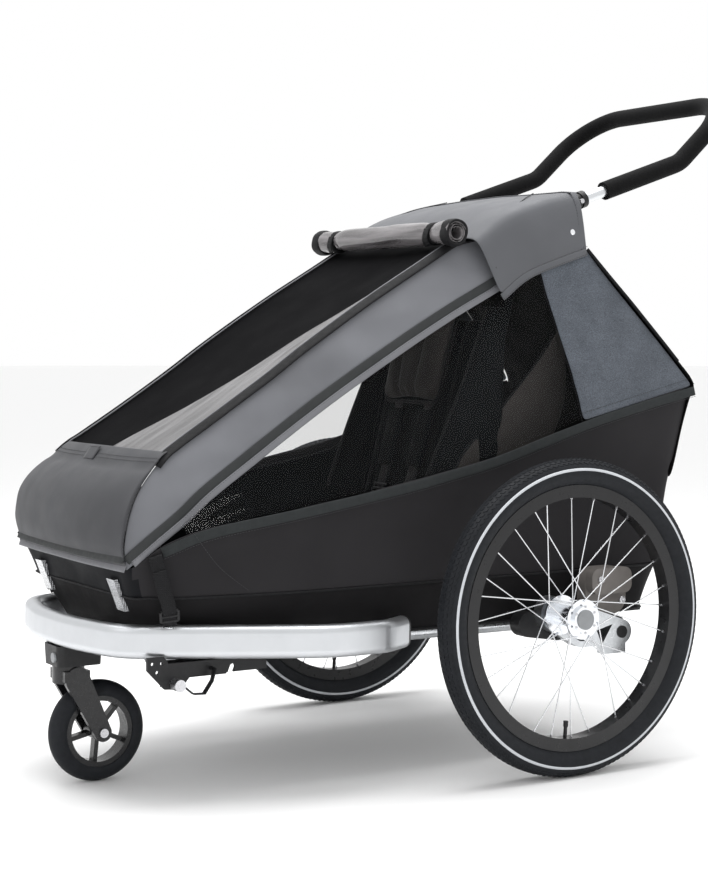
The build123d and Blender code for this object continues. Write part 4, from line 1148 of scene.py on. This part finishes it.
for side, sign in SIDES:
    # cloth wing from the backrest leg to the belt, with a bound front edge
    front = smooth_line([on_back(118, 34, 150 * sign), on_back(230, 50, 152 * sign),
                         on_back(340, 70, 150 * sign),
                         on_back(450, 88, 143 * sign)], 26)
    back = smooth_line([on_back(112, 8, 163 * sign), on_back(240, -14, 168 * sign),
                        on_back(350, -30, 168 * sign),
                        on_back(462, -16, 160 * sign)], 26)
    grid = []
    for k in range(26):
        row = []
        for i in range(11):
            u, v = i / 10, k / 25
            p = front[k].lerp(back[k], u)
            p.y += sign * (7 * math.sin(math.pi * u) * math.sin(math.pi * v) + 1.5 * noise.noise(
                Vector((u * 3, v * 5, 9.0)))) / 1000
            row.append(p)
        grid.append(row)
    wing = net(f"side_wing_{side}", grid, "seat_low", "backrest", thick=4.0)
    face_out(wing, P(40, 0, 560))
    if sign > 0:
        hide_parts("side_wings")
    tube(f"side_wing_binding_{side}", front, 3.0, "binding", "backrest")
    # brown cloth web running back from the leg
    web_front = smooth_line([P(-116, 167 * sign, 706), P(-62, 169 * sign, 640), P(10, 169 * sign, 566),
                             P(78, 167 * sign, 500), P(104, 166 * sign, 452)], 26)
    web_back = smooth_line([P(-120, 167 * sign, 700), P(-128, 170 * sign, 640), P(-124, 171 * sign, 580),
                            P(-106, 168 * sign, 530), P(-70, 166 * sign, 450)], 26)
    grid = []
    for k in range(26):
        row = []
        for i in range(13):
            u, v = i / 12, k / 25
            p = web_front[k].lerp(web_back[k], u)
            wave = 5 * math.sin(math.pi * u) * math.sin(math.pi * v) + 2.5 * noise.noise(Vector((u * 3,
                                                                                                 v * 4,
                                                                                                 2.0)))
            row.append(p + Vector((0, sign * wave / 1000, 0)))
        grid.append(row)
    web = net(f"back_web_{side}", grid, "seat", "backrest", thick=2.4)
    face_out(web, INSIDE)
    tube(f"back_web_binding_{side}", web_front, 2.2, "binding", "backrest")
    # cloth sleeve over the leg of the frame
    rings = []
    for k in range(34):
        s = 24 + (545 - 24) * k / 33
        ring = []
        for j in range(16):
            a = 2 * math.pi * j / 16
            r = 11.2 + 0.5 * noise.noise(Vector((s * 0.05, math.cos(a), math.sin(a))))
            ring.append(on_back(s, r * math.cos(a), 150 * sign + r * math.sin(a)))
        rings.append(ring)
    net(f"leg_sleeve_{side}", rings, "seat_low", "backrest", thick=1.0, closed=True,
        offset=1.0)
    # harness strap with its slider
    strap = smooth_line([on_back(286, 37, 45 * sign), on_back(330, 37, 45 * sign),
                         on_back(400, 40, 43 * sign),
                         on_back(452, 46, 38 * sign), on_back(486, 62, 30 * sign)], 34)
    piece = band(f"harness_strap_{side}", strap, OUT_OF_BACK, 27, 1.6, "webbing", "backrest",
                 lift=1.0)
    if sign > 0:
        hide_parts("harness_straps")
    band(f"shoulder_pad_{side}", strap[2:19], OUT_OF_BACK, 44, 5.0, "seat_low", "backrest",
               lift=3.0)
    for bar in (-8, 0, 8):
        middle = strap[25] + (strap[26] - strap[25]).normalized() * bar / 1000 + OUT_OF_BACK * 0.004
        tube(f"slider_{side}_{bar + 8}", [middle + Vector((0, -0.019, 0)), middle + Vector((0, 0.019, 0))],
             2.3,
             "plastic", "backrest")

# inner lining, a dark cloth hung inside the tub
lining_rows = tub_rows(0.06, 1.9, 10, lambda u, v: -17.0 - 3.0 * math.sin(math.pi * v))
lining = net("tub_lining", lining_rows, "seat_low", "chassis", thick=1.2, closed=True,
             skip=rear_opening)
face_out(lining, INSIDE)


# ---------------------------------------------------------------- straps and small parts
SPOKES = 14
TRACK_HALF = 351
WHEEL_R = 250
TYRE_RING_R = 228
TYRE_SECTION_R = 22.0
TREAD_STEPS = 150
STRIPE_STEPS = 160
HUB_SCREW_R = 20.5


def buckle(name, place, axis, out, width, height, body):
    """Moulded ladder buckle: a rounded frame with two slots."""
    across = axis.cross(out).normalized()
    for index, step in enumerate((-0.5, 0.0, 0.5)):
        middle = place + axis * step * height + out * 0.003
        tube(f"{name}_bar_{index}", [middle - across * width / 2, middle + across * width / 2], 2.2,
             "plastic", body)
    for index, edge in enumerate((-0.5, 0.5)):
        middle = place + across * edge * width + out * 0.003
        tube(f"{name}_side_{index}", [middle - axis * height / 2, middle + axis * height / 2], 2.4,
             "plastic", body)


for side, sign in SIDES:
    # strap from the rail cover down to the tub's lower edge
    strap = [P(662, 219 * sign, 372), P(657, 223 * sign, 352), P(650, 225 * sign, 320),
             P(640, 220 * sign, 296),
             P(634, 212 * sign, 268)]
    strap = smooth_line(strap, 30)
    band(f"side_strap_{side}", strap, Vector((0.25, sign, 0.08)), 21, 1.4, "webbing", "chassis",
         lift=2.0)
    band(f"side_strap_tail_{side}", strap[6:25], Vector((0.25, sign, 0.08)), 21, 1.2, "webbing", "chassis",
         lift=4.5)
    buckle(f"side_buckle_{side}", strap[-5], (strap[-6] - strap[-4]).normalized(),
           Vector((0.25, sign, 0.08)).normalized(), 0.026, 0.016, "chassis")

for side, sign in SIDES:
    body = f"{side}_wheel"
    y = TRACK_HALF * sign

    def wheel_point(r, angle, across):
        return P(r * math.cos(angle), y + across, WHEEL_R + r * math.sin(angle))

    # reflective stripe on both walls of the tyre
    for wall in (1, -1):
        rows = []
        for k in range(5):
            r = 231.5 + 1.0 * k
            lift = math.sqrt(max(0, TYRE_SECTION_R ** 2
                                 - (r - TYRE_RING_R) ** 2)) + 0.35 - 0.5 * abs(k - 2) / 2
            rows.append([wheel_point(r, 2 * math.pi * j / STRIPE_STEPS, wall * lift)
                         for j in range(STRIPE_STEPS)])
        net(f"tyre_stripe_{side}_{'outer' if wall > 0 else 'inner'}", rows, "stripe", body,
            thick=0.5,
                    closed=True, levels=0, offset=0)
    # tread blocks and shoulder zig-zag
    verts, faces = [], []
    for j in range(TREAD_STEPS):
        angle = 2 * math.pi * j / TREAD_STEPS
        for row, (tilt_angle, size, turn) in enumerate(((28, 3.4, 0.6), (-28, 3.4, -0.6), (9, 3.0, 0.3),
                                                        (-9, 3.0, -0.3),
                                                        (47, 2.6, 0.9), (-47, 2.6, -0.9))):
            a = angle + (math.pi / TREAD_STEPS if row % 2 else 0)
            tilt_rad = math.radians(tilt_angle)
            base = len(verts)
            for level in (21.7, 22.9):
                for du, dv in ((-1, -1), (1, -1), (1, 1), (-1, 1)):
                    shrink = 1.0 if level < 22 else 0.82
                    along = du * size * shrink / WHEEL_R + dv * turn * 0.012
                    side_angle = tilt_rad + dv * size * shrink / (2 * TYRE_SECTION_R) * 1.4
                    r = TYRE_RING_R + level * math.cos(side_angle)
                    verts.append(wheel_point(min(r, WHEEL_R + 0.4), a + along,
                                             level * math.sin(side_angle)))
            faces += [tuple(base + c for c in f)
                      for f in ((4, 5, 6, 7), (0, 1, 5, 4), (1, 2, 6, 5), (2, 3, 7, 6),
                                                           (3, 0, 4, 7), (3, 2, 1, 0))]
    add_mesh(f"tyre_tread_{side}", verts, faces, "tyre", body, smooth=False)
    # valve
    angle = math.radians(-86)
    tube(f"valve_{side}", [wheel_point(r, angle, 0) for r in (192.5, 186, 178, 170)], 3.0, "plastic", body)
    tube(f"valve_cap_{side}", [wheel_point(r, angle, 0) for r in (172, 168, 163)], 4.0, "plastic", body)
    # spoke nipples at the rim
    verts, faces = [], []
    for wall in (-1, 1):
        for j in range(SPOKES):
            a = 2 * math.pi * j / SPOKES + (math.pi / SPOKES
                                            if wall > 0 else 0) + math.radians(50 if j % 2 else -50)
            across = wall * sign * 4
            base = len(verts)
            for r in (186.0, 194.5):
                for k in range(6):
                    b = math.pi * k / 3
                    verts.append(wheel_point(r, a + 2.1 * math.cos(b) / 190, across + 2.1 * math.sin(b)))
            faces += [(base + k, base + (k + 1) % 6, base + 6 + (k + 1) % 6, base + 6 + k)
                      for k in range(6)]
            faces += [tuple(base + k for k in range(5, -1, -1)), tuple(base + 6 + k for k in range(6))]
    add_mesh(f"spoke_nipples_{side}", verts, faces, "steel", body, smooth=False)


def bolt(name, centre, axis, radius, height, body, look="steel"):
    """Domed screw head with a hexagon recess."""
    axis = axis.normalized()
    first = axis.orthogonal().normalized()
    second = axis.cross(first)
    profile = ((radius, 0.0), (radius, height * 0.55), (radius * 0.86, height * 0.95),
               (radius * 0.55, height),
               (radius * 0.5, height * 0.98), (radius * 0.46, height * 0.35), (0.0001, height * 0.33))
    rows = []
    for index, (r, h) in enumerate(profile):
        ring = []
        for k in range(24):
            a = 2 * math.pi * k / 24
            hexed = r
            if index in (4, 5):
                hexed = r / max(abs(math.cos(a % (math.pi / 3) - math.pi / 6)), 0.866) * 0.93
            ring.append(centre + (first * math.cos(a) + second * math.sin(a)) * hexed / 1000 + axis
                        * h / 1000)
        rows.append(ring)
    return net(name, rows, look, body, thick=0, closed=True, levels=0)


for side, sign in SIDES:
    out = Vector((0, sign, 0))
    for index, (x, z) in enumerate(((-97, 297), (-140, 262))):
        bolt(f"housing_screw_{side}_{index}", P(x, 303.8 * sign, z), out, 6.0, 4.0, "chassis")
    for index, angle in enumerate(range(30, 390, 60)):
        a = math.radians(angle)
        bolt(f"hub_screw_{side}_{index}",
             P(HUB_SCREW_R * math.cos(a), 384.8 * sign, WHEEL_R + HUB_SCREW_R * math.sin(a)), out, 2.2, 1.2,
             f"{side}_wheel")
    bolt(f"sleeve_screw_{side}", P(-40, 216.4 * sign, 866), out, 3.0, 1.6, "roof")


# ---------------------------------------------------------------- cloth pieces listed with how they are held and what holds them, and their largest spans measured
HELD = {
    "tub_upper": ("stretched", "floor_pan"), "tub_lower": ("stretched", "floor_pan"),
    "tub_lining": ("hung", "floor_pan"),
    "nose_flap": ("gathered", "roof_rails"), "rail_cover_left": ("stretched", "roof_rails"),
    "rail_cover_right": ("stretched", "roof_rails"), "window_mesh": ("stretched", "roof_rails"),
    "window_folded_net": ("folded", "window_mesh"), "hood_cloth": ("stretched", "handle_sleeves"),
    "rain_roll": ("folded", "roof_rails"), "side_film_left": ("hung", "rail_cover_left"),
    "side_film_right": ("hung", "rail_cover_right"), "rear_side_cloth_left": ("stretched", "hood_cloth"),
    "rear_side_cloth_right": ("stretched", "hood_cloth"), "rear_cloth": ("hung", "hood_cloth"),
    "hood_back_flap": ("hung", "hood_cloth"),
    "side_wing_left": ("stretched", "backrest_frame"), "side_wing_right": ("stretched", "backrest_frame"),
    "back_web_left": ("stretched", "backrest_frame"), "back_web_right": ("stretched", "backrest_frame"),
    "leg_sleeve_left": ("stretched", "backrest_frame"), "leg_sleeve_right": ("stretched", "backrest_frame"),
}
for name, (held, support) in HELD.items():
    rows, ring, skip = GRIDS[name]
    across = [sum((a - b).length for a, b in zip(row, row[1:] + (row[:1] if ring else []))) for row in rows]
    down = [sum((a[j] - b[j]).length for a, b in zip(rows, rows[1:])) for j in range(len(rows[0]))]
    count = len(rows[0])
    for top, bottom in zip(rows, rows[1:]):
        for j in range(count if ring else count - 1):
            a, b, c, d = top[j], top[(j + 1) % count], bottom[(j + 1) % count], bottom[j]
            not (skip and skip((a + c) / 2))
    flat = (round(max(across), 3), round(max(down), 3))


# ---------------------------------------------------------------- camera, light and floor
camera_data = bpy.data.cameras.new("camera")
camera_data.lens = 75.76
camera_data.sensor_width = 36.0
camera_data.shift_x = 0.0499
camera_data.shift_y = -0.0806
camera = placed("camera", camera_data)
camera.location = P(1833.6, 2661.06, 692.25)
yaw, pitch = 0.53080, 0.01905
aim = Vector((-math.sin(yaw) * math.cos(pitch), -math.cos(yaw) * math.cos(pitch), -math.sin(pitch)))
camera.rotation_mode = "QUATERNION"
camera.rotation_quaternion = aim.to_track_quat("-Z", "Y")
scene.camera = camera

world = bpy.data.worlds.new("studio")
world.use_nodes = True
background = world.node_tree.nodes["Background"]
background.inputs["Color"].default_value = (1, 1, 1, 1)
background.inputs["Strength"].default_value = 1.0
scene.world = world
scene.view_settings.view_transform = "Standard"


def softbox(name, place, target, size, power):
    data = bpy.data.lights.new(name, "AREA")
    data.shape = "RECTANGLE"
    data.size, data.size_y = size
    data.energy = power
    light = placed(name, data)
    light.location = place
    light.rotation_mode = "QUATERNION"
    light.rotation_quaternion = (Vector(target) - Vector(place)).to_track_quat("-Z", "Y")


softbox("top_light", (0.0, -0.2, 3.0), (0, 0, 0.4), (3.0, 2.4), 95)
softbox("front_light", (3.2, 0.8, 2.4), (0.2, 0, 0.5), (1.6, 1.4), 6)

bm = bmesh.new()
bmesh.ops.create_circle(bm, cap_ends=True, segments=96, radius=40)
mesh = mesh_of("floor", bm)
floor = placed("floor", mesh)
floor_look = bpy.data.materials.new("floor_white")
floor_look.use_nodes = True
floor_shader = floor_look.node_tree.nodes["Principled BSDF"]
floor_shader.inputs["Base Color"].default_value = (0.93, 0.93, 0.93, 1)
floor_shader.inputs["Roughness"].default_value = 0.7
mesh.materials.append(floor_look)
